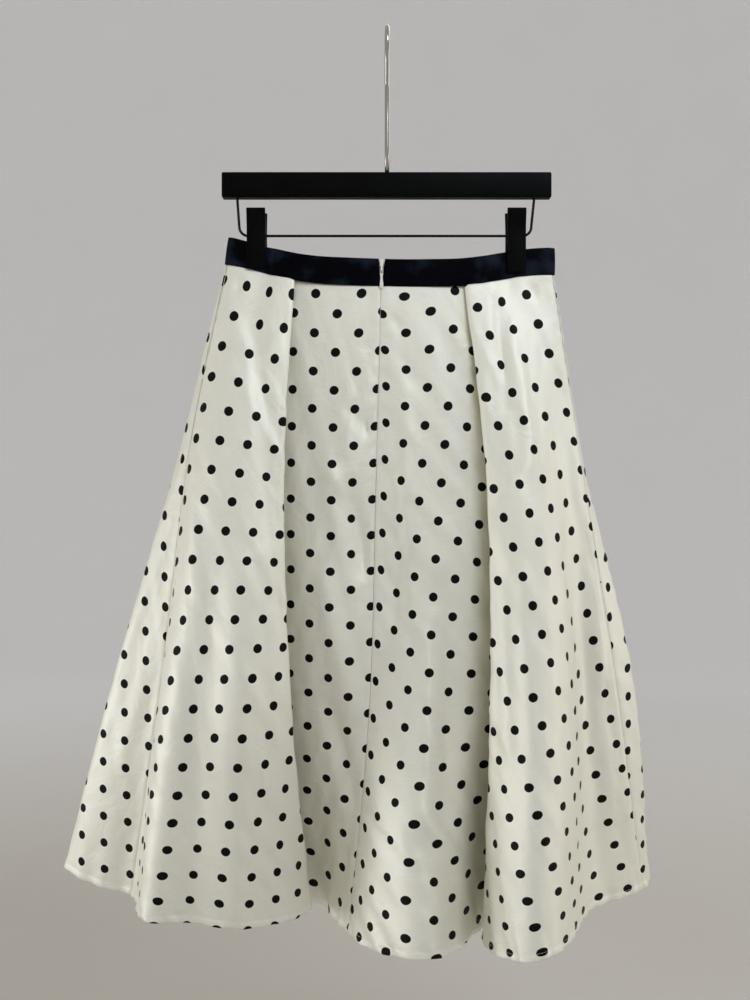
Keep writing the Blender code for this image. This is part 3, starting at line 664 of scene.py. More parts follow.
def flat_cut(name, mid, places):
    """The panel's points on the flat circle, mm.  Seen from outside, a panel's first line is
    on the right, so the angle falls along the ring."""
    arcs = along_ring(mid)
    radius = WAIST_R + ROW_T[None, :]
    s = ROW_T[None, :] / LENGTH

    def column(line):
        at = line_at(line)
        if at < places[0] - 0.01:
            at += AROUND
        return int(np.argmin(np.abs(places - at)))

    laid, ends = [], []
    for zone in PRINT[name]:
        here, far = column(zone["anchor"]), column(zone["far"])
        gone = arcs - arcs[here][None]
        angle = math.radians(zone["angle"]) - gone / radius
        a = np.clip(np.abs(gone) / np.maximum(np.abs(gone[far])[None], 1.0), 0.0, A_LIMIT[name])
        drift = [sum(c * a ** i * s ** j for c, (i, j) in zip(zone[key], POWERS))
                 for key in ("across", "down")]
        laid.append(np.stack([radius * np.sin(angle) + drift[0],
                              WAIST_R - radius * np.cos(angle) + drift[1]], axis=2))
        ends.append((column(zone["first"]), column(zone["last"])))
    cut = laid[0]
    index = np.arange(len(places))
    for k in range(1, len(laid)):                     # change over inside the hidden fold
        w = np.clip((index - ends[k - 1][1]) / max(ends[k][0] - ends[k - 1][1], 1), 0, 1)
        w = (w * w * (3 - 2 * w))[:, None, None]
        cut = cut * (1 - w) + laid[k] * w
    return cut


# the stretches of the ring inside the pleats, which get the painted pleat shade
PLEATS = (("inL", "FL"), ("FR", "cr3"), ("GL", "gl1"), ("gr1", "GR"))
PLEAT_FADE = 6         # fine steps over which the inside of a pleat begins
SEAM_DIPS = ((0.75, 1.3), (0.35, 5.0))     # a seam's sharp line and soft dip: depth, half width
SEAM_PUCKER = 0.35     # height of the small puckers that run off a seam
SEAM_PUCKER_LONG = 17  # and their wavelength


def depth_in_fold(mid, places):
    """1 on cloth that lies inside a pleat, 0 where it shows flat: the mask for the painted pleat
    shade.
    """
    out = np.zeros(len(places))
    for a, b in PLEATS:
        lo, hi = sorted((line_at(a), line_at(b)))
        for q in (places, places - AROUND, places + AROUND):
            out = np.maximum(out, np.clip((q - lo) / PLEAT_FADE + 0.4, 0, 1)
                             * np.clip((hi - q) / PLEAT_FADE + 0.4, 0, 1))
    return np.repeat(out[:, None], mid.shape[1], axis=1)


def cloth_piece(name, material):
    """One panel as a thin closed shell that dips at its seams and is doubled at its hem."""
    mid, places = panel_middle(PANELS[name]["first"], PANELS[name]["last"])
    cut = flat_cut(name, mid[1:-1], places[1:-1])
    full = along_ring(mid)
    edge = np.minimum(full - full[1][None], full[-2][None] - full)     # from the nearer seam
    out = directions(mid)
    t = np.repeat(ROW_T[None, :], mid.shape[0], axis=0)
    lift = crease_heights(mid, places) * np.clip(t / 25, 0.15, 1)       # less below the band
    lift += small_waves(full, t, PANELS[name]["seed"])
    lift *= np.clip(np.abs(edge) / 9.0, 0.0, 1.0)                       # both sides of a seam agree
    span = np.clip(full[-1][None] / 400, 0.15, 1.0)                     # finer where it is narrow
    lift -= sum(depth * np.exp(-(edge / (width * span)) ** 2) for depth, width in SEAM_DIPS)
    lift += (SEAM_PUCKER * np.sin(t * WAVE / SEAM_PUCKER_LONG + 2 * np.sin(t / 43))
             * np.exp(-((edge - 5) / 5) ** 2) * np.clip(t / 30, 0, 1))
    # without the spare columns, a seam's own column takes its neighbour's direction
    mid = (mid + out * lift[:, :, None])[1:-1]
    out = directions(mid)
    t = t[1:-1]
    turn = np.clip((t - (LENGTH - HEM_H - 0.5)) / 0.9, 0, 1)
    groove = np.exp(-((t - (LENGTH - HEM_H)) / 1.1) ** 2)
    half = CLOTH_T / 2 + HEM_BULK * turn - HEM_GROOVE * groove
    half = np.where(t > LENGTH - 0.5, half * 0.45, half)                # its edge is rounded
    shell = [mid + out * half[:, :, None], mid - out * half[:, :, None]]
    ob = shell_mesh(name + "_cloth", shell, cut, depth_in_fold(mid, places[1:-1]), material)
    return ob, mid, out, half


def shell_mesh(name, shell, cut, fold, material):
    """Joins the outer and inner face by their rims; the flat cut becomes the UV map."""
    nc, nr = shell[0].shape[:2]
    count = nc * nr
    verts = np.concatenate([s.reshape(-1, 3) for s in shell])
    c, r = np.arange(nc - 1) * nr, np.arange(nr - 1)
    i = (c[:, None] + r[None]).ravel()
    outer = np.stack([i, i + nr, i + nr + 1, i + 1], axis=1)

    def rim(k, step, turned=False):
        quads = np.stack([k, k + count, k + step + count, k + step], axis=1)
        return quads[:, ::-1] if turned else quads

    faces = np.concatenate([outer, outer[:, ::-1] + count, rim(c, nr), rim(c + nr - 1, nr, True),
                            rim(r, 1, True), rim(r + (nc - 1) * nr, 1)])
    me = bpy.data.meshes.new(name)
    me.vertices.add(len(verts))
    me.vertices.foreach_set("co", (verts * 0.001).ravel())
    me.loops.add(faces.size)
    me.loops.foreach_set("vertex_index", faces.ravel().astype(np.int32))
    me.polygons.add(len(faces))
    me.polygons.foreach_set("loop_start", np.arange(0, faces.size, 4, dtype=np.int32))
    me.polygons.foreach_set("use_smooth", np.ones(len(faces), bool))
    me.update(calc_edges=True)
    uv = np.concatenate([cut.reshape(-1, 2)] * 2) * 0.001
    layer = me.uv_layers.new(name="cut")
    layer.data.foreach_set("uv", uv[faces.ravel()].ravel())
    attr = me.attributes.new("fold", "FLOAT", "POINT")
    attr.data.foreach_set("value", np.concatenate([fold.ravel()] * 2))
    me.validate()
    me.materials.append(material)
    return link(bpy.data.objects.new(name, me))


# ------------------------------------------------------------ materials
def feed(tree, node, inputs):
    """Fills a node's inputs, given by name or in their order, with a value each or a link
    from an output.  A node stands for its first output."""
    for key, source in inputs.items() if isinstance(inputs, dict) else enumerate(inputs):
        if isinstance(source, bpy.types.Node):
            source = source.outputs[0]
        if isinstance(source, bpy.types.NodeSocket):
            tree.links.new(source, node.inputs[key])
        else:
            node.inputs[key].default_value = source


def add(tree, kind, inputs=(), **settings):
    """Adds a node with its settings, values and links."""
    node = tree.nodes.new(kind)
    for key, setting in settings.items():
        setattr(node, key, setting)
    feed(tree, node, inputs)
    return node


def new_material(name):
    """An empty material, its tree and its shader, which is joined to the output."""
    mat = bpy.data.materials.new(name)
    mat.use_nodes = True
    tree = mat.node_tree
    tree.nodes.clear()
    shader = add(tree, "ShaderNodeBsdfPrincipled")
    add(tree, "ShaderNodeOutputMaterial", {"Surface": shader})
    return mat, tree, shader


# the kinds of node that most finishes use
PLACE = "ShaderNodeTexCoord"       # its Object output is the piece's own place, metres
NOISE = "ShaderNodeTexNoise"
MATH = "ShaderNodeMath"
VECTOR = "ShaderNodeVectorMath"
RANGE = "ShaderNodeMapRange"       # in order: source, from low, from high, to low, to high
MIX = "ShaderNodeMix"              # colours: inputs 6 and 7, output 2
BUMP = "ShaderNodeBump"

INK_CREEP = 0.00045            # m: the width over which a dot's edge wanders and fades


def dotted_satin(s):
    """Woven polyester satin with a crosswise slub, discharge-printed with dots: the long
    floats give a soft broad gloss, the slub gives faint level streaks."""
    mat, tree, shader = new_material("dotted_satin")
    cut = add(tree, "ShaderNodeUVMap", uv_map="cut")
    across, down, radius = s.dot_across, s.dot_down, s.dot_size / 2
    half = (across / 2, down / 2, 1.0)
    dist = []
    for move in ((0, 0, 0), (across / 2, down / 2, 0)):
        moved = add(tree, VECTOR, (cut, move), operation="ADD")
        local = add(tree, VECTOR, (moved, half, tuple(-v for v in half)), operation="WRAP")
        dist.append(add(tree, VECTOR, (local,), operation="LENGTH").outputs["Value"])
    near = add(tree, MATH, dist, operation="MINIMUM")
    # ink creeps along the threads, by about 0.15 mm either way, at every 1.5 mm
    creep = add(tree, NOISE, {"Vector": cut, "Scale": 650.0, "Detail": 2.0})
    edge = add(tree, MATH, (creep, INK_CREEP, near), operation="MULTIPLY_ADD")
    ink = add(tree, RANGE, (edge, radius + INK_CREEP, radius - 0.00005, 0.0, 1.0),
              interpolation_type="SMOOTHSTEP")
    # slub: thick places in the weft, 0.6 mm high and 15 to 40 mm long
    weft = add(tree, VECTOR, (cut, (45.0, 1500.0, 1.0)), operation="MULTIPLY")
    slub = add(tree, NOISE, {"Vector": weft, "Scale": 1.0, "Detail": 3.0, "Roughness": 0.6})
    # threads: 0.25 mm in the cloth, drawn at 0.7 mm so that they show at all
    weave = add(tree, VECTOR, (cut, (1400.0, 1400.0, 1.0)), operation="MULTIPLY")
    threads = add(tree, NOISE, {"Vector": weave, "Scale": 1.0, "Detail": 1.0})
    cloudy = add(tree, NOISE, {"Vector": cut, "Scale": 9.0, "Detail": 2.0})
    # painted shade: inside the pleats the cloth's colour goes 45 % of the way to the pleat shade
    # colour
    inside = add(tree, "ShaderNodeAttribute", attribute_name="fold").outputs["Fac"]
    shaded = add(tree, MATH, (inside, 0.45), operation="MULTIPLY")
    base = add(tree, MIX, {0: shaded, 6: tuple(s.satin), 7: tuple(s.pleat_shade)},
               data_type="RGBA").outputs[2]
    streak = add(tree, RANGE, (slub, 0.3, 0.75, 0.955, 1.02))
    cloud = add(tree, RANGE, (cloudy, 0.3, 0.7, 0.975, 1.01))
    tone = add(tree, MATH, (streak, cloud), operation="MULTIPLY")
    cloth = add(tree, VECTOR, {0: base, 3: tone}, operation="SCALE")
    dots = add(tree, MIX, {0: slub, 6: tuple(s.dot), 7: hex_colour("#0D0D0B")},
               data_type="RGBA").outputs[2]
    printed = add(tree, MIX, {0: ink, 6: cloth, 7: dots}, data_type="RGBA").outputs[2]
    thread_height = add(tree, MATH, (threads, 0.5), operation="MULTIPLY")
    height = add(tree, MATH, (slub, 0.7, thread_height), operation="MULTIPLY_ADD")
    # handling leaves a faint crumple, 30 to 50 mm across
    wide = add(tree, VECTOR, (cut, (30.0, 21.0, 1.0)), operation="MULTIPLY")
    crumple = add(tree, NOISE, {"Vector": wide, "Scale": 1.0, "Detail": 4.0, "Roughness": 0.55,
                                "Distortion": 1.2})
    creased = add(tree, BUMP, {"Strength": 0.5, "Distance": 0.0022, "Height": crumple})
    # metallic, because the floats shine in the cloth's own colour
    feed(tree, shader, {
        "Base Color": printed, "Metallic": 0.32, "IOR": 1.5, "Specular IOR Level": 0.14,
        "Roughness": add(tree, RANGE, (slub, 0.3, 0.8, 0.50, 0.62)),
        "Anisotropic": 0.35, "Sheen Weight": 0.02, "Sheen Roughness": 0.35,
        "Normal": add(tree, BUMP, {"Strength": 0.35, "Distance": 0.00022, "Height": height,
                                   "Normal": creased})})
    return mat


def band_satin(s):
    """Near-black satin, folded double and pressed: deep colour and a cool soft gloss, with faint
    navy patches painted into the colour as sheen."""
    mat, tree, shader = new_material("band_satin")
    place = add(tree, PLACE).outputs["Object"]
    level = add(tree, VECTOR, (place, (60.0, 60.0, 1500.0)), operation="MULTIPLY")
    weft = add(tree, NOISE, {"Vector": level, "Scale": 1.0, "Detail": 3.0})
    cloudy = add(tree, NOISE, {"Vector": place, "Scale": 38.0, "Detail": 3.0})
    colour = add(tree, MIX, {0: weft, 6: tuple(s.satin), 7: hex_colour("#05060C")},
                 data_type="RGBA").outputs[2]
    # painted sheen: a cloudy noise lays navy patches into the base colour for the satin's bluish
    # gloss
    painted_sheen = add(tree, RANGE, (cloudy, 0.46, 0.66, 0.0, 1.0))
    height = add(tree, MATH, (weft, cloudy), operation="ADD")
    feed(tree, shader, {
        "Base Color": add(tree, MIX, {0: painted_sheen, 6: colour, 7: hex_colour("#191F2C")},
                          data_type="RGBA").outputs[2],
        "Roughness": add(tree, RANGE, (cloudy, 0.3, 0.7, 0.36, 0.52)),
        "Specular IOR Level": 0.03, "Sheen Weight": 0.012, "Sheen Roughness": 0.3,
        "Sheen Tint": hex_colour("#5C6696"),
        "Normal": add(tree, BUMP, {"Strength": 0.3, "Distance": 0.0003, "Height": height})})
    return mat


def sewing_thread(colour):
    """Spun polyester thread: matt, a little lighter than the cloth."""
    mat, tree, shader = new_material("sewing_thread")
    place = add(tree, PLACE).outputs["Object"]
    twist = add(tree, NOISE, {"Vector": place, "Scale": 2200.0, "Detail": 1.0})
    feed(tree, shader, {
        "Base Color": add(tree, MIX, {0: twist, 6: colour, 7: hex_colour("#D9D5C6")},
                          data_type="RGBA").outputs[2],
        "Roughness": 0.7})
    return mat


def woven_tape(colour):
    """Plain-woven polyester zip tape: matt, with fine crosswise ribs."""
    mat, tree, shader = new_material("woven_tape")
    place = add(tree, PLACE).outputs["Object"]
    rib = add(tree, "ShaderNodeTexWave", {"Vector": place, "Scale": 320.0, "Distortion": 0.6},
              bands_direction="Z").outputs[0]
    feed(tree, shader, {
        "Base Color": add(tree, MIX, {0: rib, 6: colour, 7: hex_colour("#D6D1C2")},
                          data_type="RGBA").outputs[2],
        "Roughness": 0.78,
        "Normal": add(tree, BUMP, {"Strength": 0.4, "Distance": 0.0001, "Height": rib})})
    return mat


def cream_enamel(colour):
    """Stove enamel over a zinc slider: smooth and bright, worn through in small places."""
    mat, tree, shader = new_material("cream_enamel")
    place = add(tree, PLACE).outputs["Object"]
    wear = add(tree, NOISE, {"Vector": place, "Scale": 420.0, "Detail": 3.0})
    worn = add(tree, RANGE, (wear, 0.62, 0.78, 0.0, 0.5))
    feed(tree, shader, {
        "Base Color": add(tree, MIX, {0: worn, 6: colour, 7: hex_colour("#B9B4A8")},
                          data_type="RGBA").outputs[2],
        "Roughness": 0.28, "Coat Weight": 0.4})
    return mat


def moulded_black(colour):
    """Injection-moulded ABS with a fine spark-eroded grain: matt black, a dull grey light
    along its edges."""
    mat, tree, shader = new_material("moulded_black_abs")
    place = add(tree, PLACE).outputs["Object"]
    smear = add(tree, NOISE, {"Vector": place, "Scale": 26.0, "Detail": 3.0})
    grain = add(tree, NOISE, {"Vector": place, "Scale": 1500.0, "Detail": 2.0})
    feed(tree, shader, {
        "Base Color": add(tree, MIX, {0: smear, 6: colour, 7: hex_colour("#060707")},
                          data_type="RGBA").outputs[2],
        "Roughness": add(tree, RANGE, (smear, 0.3, 0.7, 0.42, 0.55)), "Specular IOR Level": 0.05,
        "Normal": add(tree, BUMP, {"Strength": 0.25, "Distance": 0.0001, "Height": grain})})
    return mat


def coated_wire(colour):
    """Steel wire, dip-coated black: smooth, half gloss."""
    mat, tree, shader = new_material("coated_wire")
    place = add(tree, PLACE).outputs["Object"]
    uneven = add(tree, NOISE, {"Vector": place, "Scale": 300.0, "Detail": 2.0})
    feed(tree, shader, {
        "Base Color": add(tree, MIX, {0: uneven, 6: colour, 7: hex_colour("#0D0D0E")},
                          data_type="RGBA").outputs[2],
        "Roughness": 0.38, "Specular IOR Level": 0.2,
        "Normal": add(tree, BUMP, {"Strength": 0.15, "Distance": 0.0001, "Height": uneven})})
    return mat


def plated_steel(colour):
    """Nickel-plated drawn steel: bright, with faint draw lines along the wire and a dull
    film from handling."""
    mat, tree, shader = new_material("nickel_plated_steel")
    place = add(tree, PLACE).outputs["Object"]
    along = add(tree, VECTOR, (place, (2200.0, 2200.0, 60.0)), operation="MULTIPLY")
    drawn = add(tree, NOISE, {"Vector": along, "Scale": 1.0, "Detail": 2.0})
    film = add(tree, NOISE, {"Vector": place, "Scale": 22.0, "Detail": 1.0})
    dulled = add(tree, MATH, (film, 0.3), operation="MULTIPLY")
    feed(tree, shader, {
        "Base Color": add(tree, MIX, {0: dulled, 6: colour, 7: hex_colour("#A9A49B")},
                          data_type="RGBA").outputs[2],
        "Metallic": 1.0, "Roughness": add(tree, RANGE, (film, 0.3, 0.7, 0.17, 0.23)),
        "Normal": add(tree, BUMP, {"Strength": 0.02, "Distance": 0.00001, "Height": drawn})})
    return mat


def pale_paint(colour):
    """Matt emulsion on the stage, with painted shade: darker in the middle, up to 0.8 m from it,
    where the open sky lights the floor most; the full colour from 3.6 m on."""
    mat, tree, shader = new_material("stage_paint")
    place = add(tree, PLACE).outputs["Object"]
    patches = add(tree, NOISE, {"Vector": place, "Scale": 3.0, "Detail": 2.0})
    soft = add(tree, MATH, (patches, 0.12), operation="MULTIPLY")
    level = add(tree, VECTOR, (place, (1.0, 1.0, 0.0)), operation="MULTIPLY")
    away = add(tree, VECTOR, (level,), operation="LENGTH").outputs["Value"]
    # painted shade: the floor's middle is darker to make up for the sky light that falls on it
    floor_shade = add(tree, RANGE, (away, 0.8, 3.6, 0.0, 1.0), interpolation_type="SMOOTHSTEP")
    painted = add(tree, MIX, {0: floor_shade, 6: hex_colour("#C2BEB7"), 7: colour},
                  data_type="RGBA").outputs[2]
    feed(tree, shader, {
        "Base Color": add(tree, MIX, {0: soft, 6: painted, 7: hex_colour("#DEDEE2")},
                          data_type="RGBA").outputs[2],
        "Roughness": 0.85})
    return mat


def shared(name, make):
    """A material that more than one piece takes."""
    return bpy.data.materials.get(name) or make()


# ------------------------------------------------------------ Geometry Nodes
def new_group(name, inputs):
    """A tree that takes and gives geometry, with these inputs: name, kind, default, minimum."""
    tree = bpy.data.node_groups.new(name, "GeometryNodeTree")
    tree.interface.new_socket("Geometry", in_out="INPUT", socket_type="NodeSocketGeometry")
    for label, kind, default, minimum in inputs:
        sock = tree.interface.new_socket(label, in_out="INPUT", socket_type=kind)
        if default is not None:
            sock.default_value = default
        if minimum is not None:
            sock.min_value = minimum
    tree.interface.new_socket("Geometry", in_out="OUTPUT", socket_type="NodeSocketGeometry")
    return tree, add(tree, "NodeGroupInput").outputs


def repeat_along(tree, line, pitch, instance, rotation, scale, material):
    """Sets the instance at every pitch of the line and gives the result out.  Where rotation
    is None, each one turns with the line."""
    curve = add(tree, "GeometryNodeResampleCurve", {"Curve": line, "Length": pitch},
                mode="LENGTH")
    points = add(tree, "GeometryNodeCurveToPoints", {"Curve": curve}, mode="EVALUATED")
    placed = add(tree, "GeometryNodeInstanceOnPoints", {
        "Points": points, "Instance": instance, "Scale": scale,
        "Rotation": points.outputs["Rotation"] if rotation is None else rotation})
    real = add(tree, "GeometryNodeRealizeInstances", {"Geometry": placed})
    done = add(tree, "GeometryNodeSetMaterial", {"Geometry": real, "Material": material})
    add(tree, "NodeGroupOutput", {0: done})


def stitch_tree():
    """Lays short threads end to end along a line: each is a thin tube sunk at its ends."""
    tree, inp = new_group("running_stitch", (
        ("Stitch", "NodeSocketFloat", 0.0026, 0.0002),
        ("Gap", "NodeSocketFloat", 0.0009, 0.0),
        ("Thread", "NodeSocketFloat", 0.0003, 0.00005),
        ("Seed", "NodeSocketInt", 7, None),
        ("Material", "NodeSocketMaterial", None, None)))
    one = add(tree, "GeometryNodeCurvePrimitiveLine", {"Start": (0, 0, -0.5), "End": (0, 0, 0.5)},
              mode="POINTS")
    one = add(tree, "GeometryNodeResampleCurve", {"Curve": one, "Count": 5}, mode="COUNT")
    span = add(tree, "GeometryNodeSplineParameter").outputs["Factor"]
    half_turn = add(tree, MATH, (span, math.pi), operation="MULTIPLY")
    arch = add(tree, MATH, (half_turn,), operation="SINE")
    width = add(tree, MATH, (arch, 0.55, 0.45), operation="MULTIPLY_ADD")
    ring = add(tree, "GeometryNodeCurvePrimitiveCircle", {"Resolution": 5, "Radius": 1.0},
               mode="RADIUS")
    radius = add(tree, "GeometryNodeSetCurveRadius", {"Curve": one, "Radius": width})
    body = add(tree, "GeometryNodeCurveToMesh",
               {"Curve": radius, "Profile Curve": ring, "Fill Caps": True})
    wobble = add(tree, "FunctionNodeRandomValue", {2: 0.88, 3: 1.08, "Seed": inp["Seed"]},
                 data_type="FLOAT").outputs[1]
    long = add(tree, MATH, (inp["Stitch"], wobble), operation="MULTIPLY")
    size = add(tree, "ShaderNodeCombineXYZ", (inp["Thread"], inp["Thread"], long))
    pitch = add(tree, MATH, (inp["Stitch"], inp["Gap"]), operation="ADD")
    repeat_along(tree, inp["Geometry"], pitch, body, None, size, inp["Material"])
    return tree


def run_nodes(name, tree, lines_mm, inputs):
    """Runs a tree on poly lines and keeps the result as a plain mesh."""
    data = bpy.data.curves.new(name, "CURVE")
    data.dimensions = "3D"
    for line in lines_mm:
        sp = data.splines.new("POLY")
        sp.points.add(len(line) - 1)
        spots = np.column_stack([np.asarray(line) * 0.001, np.ones(len(line))])
        sp.points.foreach_set("co", spots.ravel())
    source = link(bpy.data.objects.new(name + "_line", data))
    mod = source.modifiers.new("nodes", "NODES")
    mod.node_group = tree
    for item in tree.interface.items_tree:
        if item.item_type == "SOCKET" and item.in_out == "INPUT" and item.name in inputs:
            mod[item.identifier] = inputs[item.name]
    source.update_tag()
    bpy.context.view_layer.update()
    deps = bpy.context.evaluated_depsgraph_get()
    me = bpy.data.meshes.new_from_object(source.evaluated_get(deps), depsgraph=deps)
    bpy.data.objects.remove(source, do_unlink=True)
    me.name = name
    me.polygons.foreach_set("use_smooth", [True] * len(me.polygons))
    return link(bpy.data.objects.new(name, me))


def coil_tree():
    """The closed zip's teeth: small bars across the zip's line."""
    tree, inp = new_group("zip_coil", (
        ("Pitch", "NodeSocketFloat", 0.0013, 0.0002),
        ("Width", "NodeSocketFloat", 0.0036, 0.0002),
        ("Thick", "NodeSocketFloat", 0.0004, 0.00005),
        ("Material", "NodeSocketMaterial", None, None)))
    one = add(tree, "GeometryNodeMeshCylinder", {"Vertices": 6, "Radius": 1.0, "Depth": 1.0})
    size = add(tree, "ShaderNodeCombineXYZ", (inp["Thick"], inp["Thick"], inp["Width"]))
    across = (0.0, math.pi / 2, 0.0)
    repeat_along(tree, inp["Geometry"], inp["Pitch"], one, across, size, inp["Material"])
    return tree


def make_panel(name, s):
    """One panel of the skirt and the stitches of its hem."""
    satin = shared("dotted_satin", lambda: dotted_satin(s))
    thread = shared("sewing_thread", lambda: sewing_thread(hex_colour("#F1EEE2")))
    ob, mid, out, half = cloth_piece(name, satin)
    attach(ob, "skirt")
    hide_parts(name)
    row = int(np.argmin(np.abs(ROW_T - (LENGTH - HEM_H))))
    line = (mid + out * (half[:, :, None] + 0.1))[2:-2, row]
    tree = bpy.data.node_groups.get("running_stitch") or stitch_tree()
    sewn = run_nodes(name + "_hem_stitches", tree, [line],
                     {"Stitch": s.stitch, "Gap": s.stitch_gap, "Thread": THREAD_R / 1000, "Seed": 7,
                      "Material": thread})
    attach(sewn, "skirt")


def band_ring():
    """The band's middle line in plan, from one end at the zip round to the other."""
    near = [(x, -h) for x, h in BAND_PLAN]
    far = [(x, h) for x, h in BAND_PLAN]
    left = [p for p in near if p[0] < ZIP_X - 15]
    right = [p for p in near if p[0] > ZIP_X + 15]
    y = -11.4                                   # at the zip
    return ([(BAND_GAP_LOW[0], y), (ZIP_X - 14, y)] + left[::-1] + [(BAND_ENDS[0], 0)] + far
            + [(BAND_ENDS[1], 0)] + right[::-1] + [(ZIP_X + 14, y), (BAND_GAP_LOW[1], y)])


# wrinkles of the band: x, lean, half width, depth, side of the band
BAND_DENTS = (
    (-112, 0.5, 5, -0.5, -1), (-104, 0.3, 4, 0.4, -1), (-88, 0.2, 9, -0.35, -1),
    (-58, -0.2, 12, 0.35, -1), (-34, 0.3, 8, -0.4, -1), (-18, 0.5, 4, 0.3, -1),
    (12, -0.5, 5, -0.35, -1), (36, 0.1, 14, 0.35, -1), (70, -0.2, 9, -0.35, -1),
    (98, -0.4, 5, 0.4, -1), (112, -0.5, 4, -0.5, -1),
    (-110, 0.4, 5, -0.5, 1), (-70, 0.1, 12, 0.35, 1), (-20, 0.2, 14, -0.35, 1),
    (28, -0.2, 10, 0.35, 1), (66, 0.2, 9, -0.35, 1), (106, -0.4, 5, 0.45, 1),
)


def make_band(s):
    """The waistband: a folded strip with rounded edges, open at the zip."""
    satin = band_satin(s)
    plan = curve_points(band_ring(), 9)
    n = len(plan)
    tang = np.gradient(plan, axis=0)
    tang /= np.linalg.norm(tang, axis=1, keepdims=True)
    normal = np.column_stack([-tang[:, 1], tang[:, 0]])
    run = np.concatenate([[0], np.cumsum(np.linalg.norm(np.diff(plan, axis=0), axis=1))])
    side_end = np.clip(1 - (plan[:, 0] - BAND_ENDS[0]) / BAND_END_REACH, 0, 1)
    end_round = np.clip(np.minimum(run, run[-1] - run) / 1.2, 0.35, 1.0) ** 0.5
    # the clips press it flat
    free = np.clip((np.abs(np.abs(plan[:, 0] - CLIPS_MIDDLE) - CLIPS_HALF) - 9) / 6, 0, 1)
    low = band_low(plan[:, 0])
    h, w = BAND_H, BAND_T / 2
    corner = lambda cy, cz, a0: arc(cy, cz, 1.0, a0, a0 + 90, 3)
    section = ([(w, z) for z in np.linspace(3, h - 3, 9)] + corner(w - 1, h - 1, 0)
               + corner(1 - w, h - 1, 90) + [(-w, z) for z in np.linspace(h - 3, 3, 5)]
               + corner(1 - w, 1, 180) + corner(w - 1, 1, 270))
    m = len(section)
    verts = np.zeros((n, m, 3))
    for j, (off, up) in enumerate(section):
        t = up / h
        shift = np.zeros(n)
        for end, top, bottom in zip((0, -1), BAND_GAP_TOP, BAND_GAP_LOW):
            away = np.abs(run - run[end])
            shift += (top - bottom) * t * np.clip(1 - away / BAND_END_REACH, 0, 1) ** 2
        shift += BAND_SIDE_LEAN * t * side_end
        bulge = 0.0
        if off > 0:
            bulge = 0.35 * math.sin(math.pi * t)
            dents = np.zeros(n)
            for x, lean, half, depth, side in BAND_DENTS:
                gap = plan[:, 0] - x - lean * (up - h / 2)
                dents += depth * np.exp(-(gap / half) ** 2) * (np.sign(plan[:, 1]) == side)
            bulge = bulge + dents * math.sin(math.pi * min(max(t, 0.12), 0.88))
            bulge = bulge * free
        place = off + bulge
        verts[:, j, 0] = plan[:, 0] + normal[:, 0] * place * end_round + shift
        verts[:, j, 1] = plan[:, 1] + normal[:, 1] * place * end_round
        verts[:, j, 2] = low + up + 0.25 * np.sin(run / 23) * (1 if up > h / 2 else 0)
    faces = []
    for i in range(n - 1):
        for j in range(m):
            k = (j + 1) % m
            faces.append([i * m + j, i * m + k, (i + 1) * m + k, (i + 1) * m + j])
    faces += [list(range(m)), [(n - 1) * m + j for j in range(m)][::-1]]
    ob = mesh_piece("waistband_satin", verts.reshape(-1, 3), faces, satin)
    smooth_by_angle(ob.data, 60)
    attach(ob, "skirt")
    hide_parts("waistband")


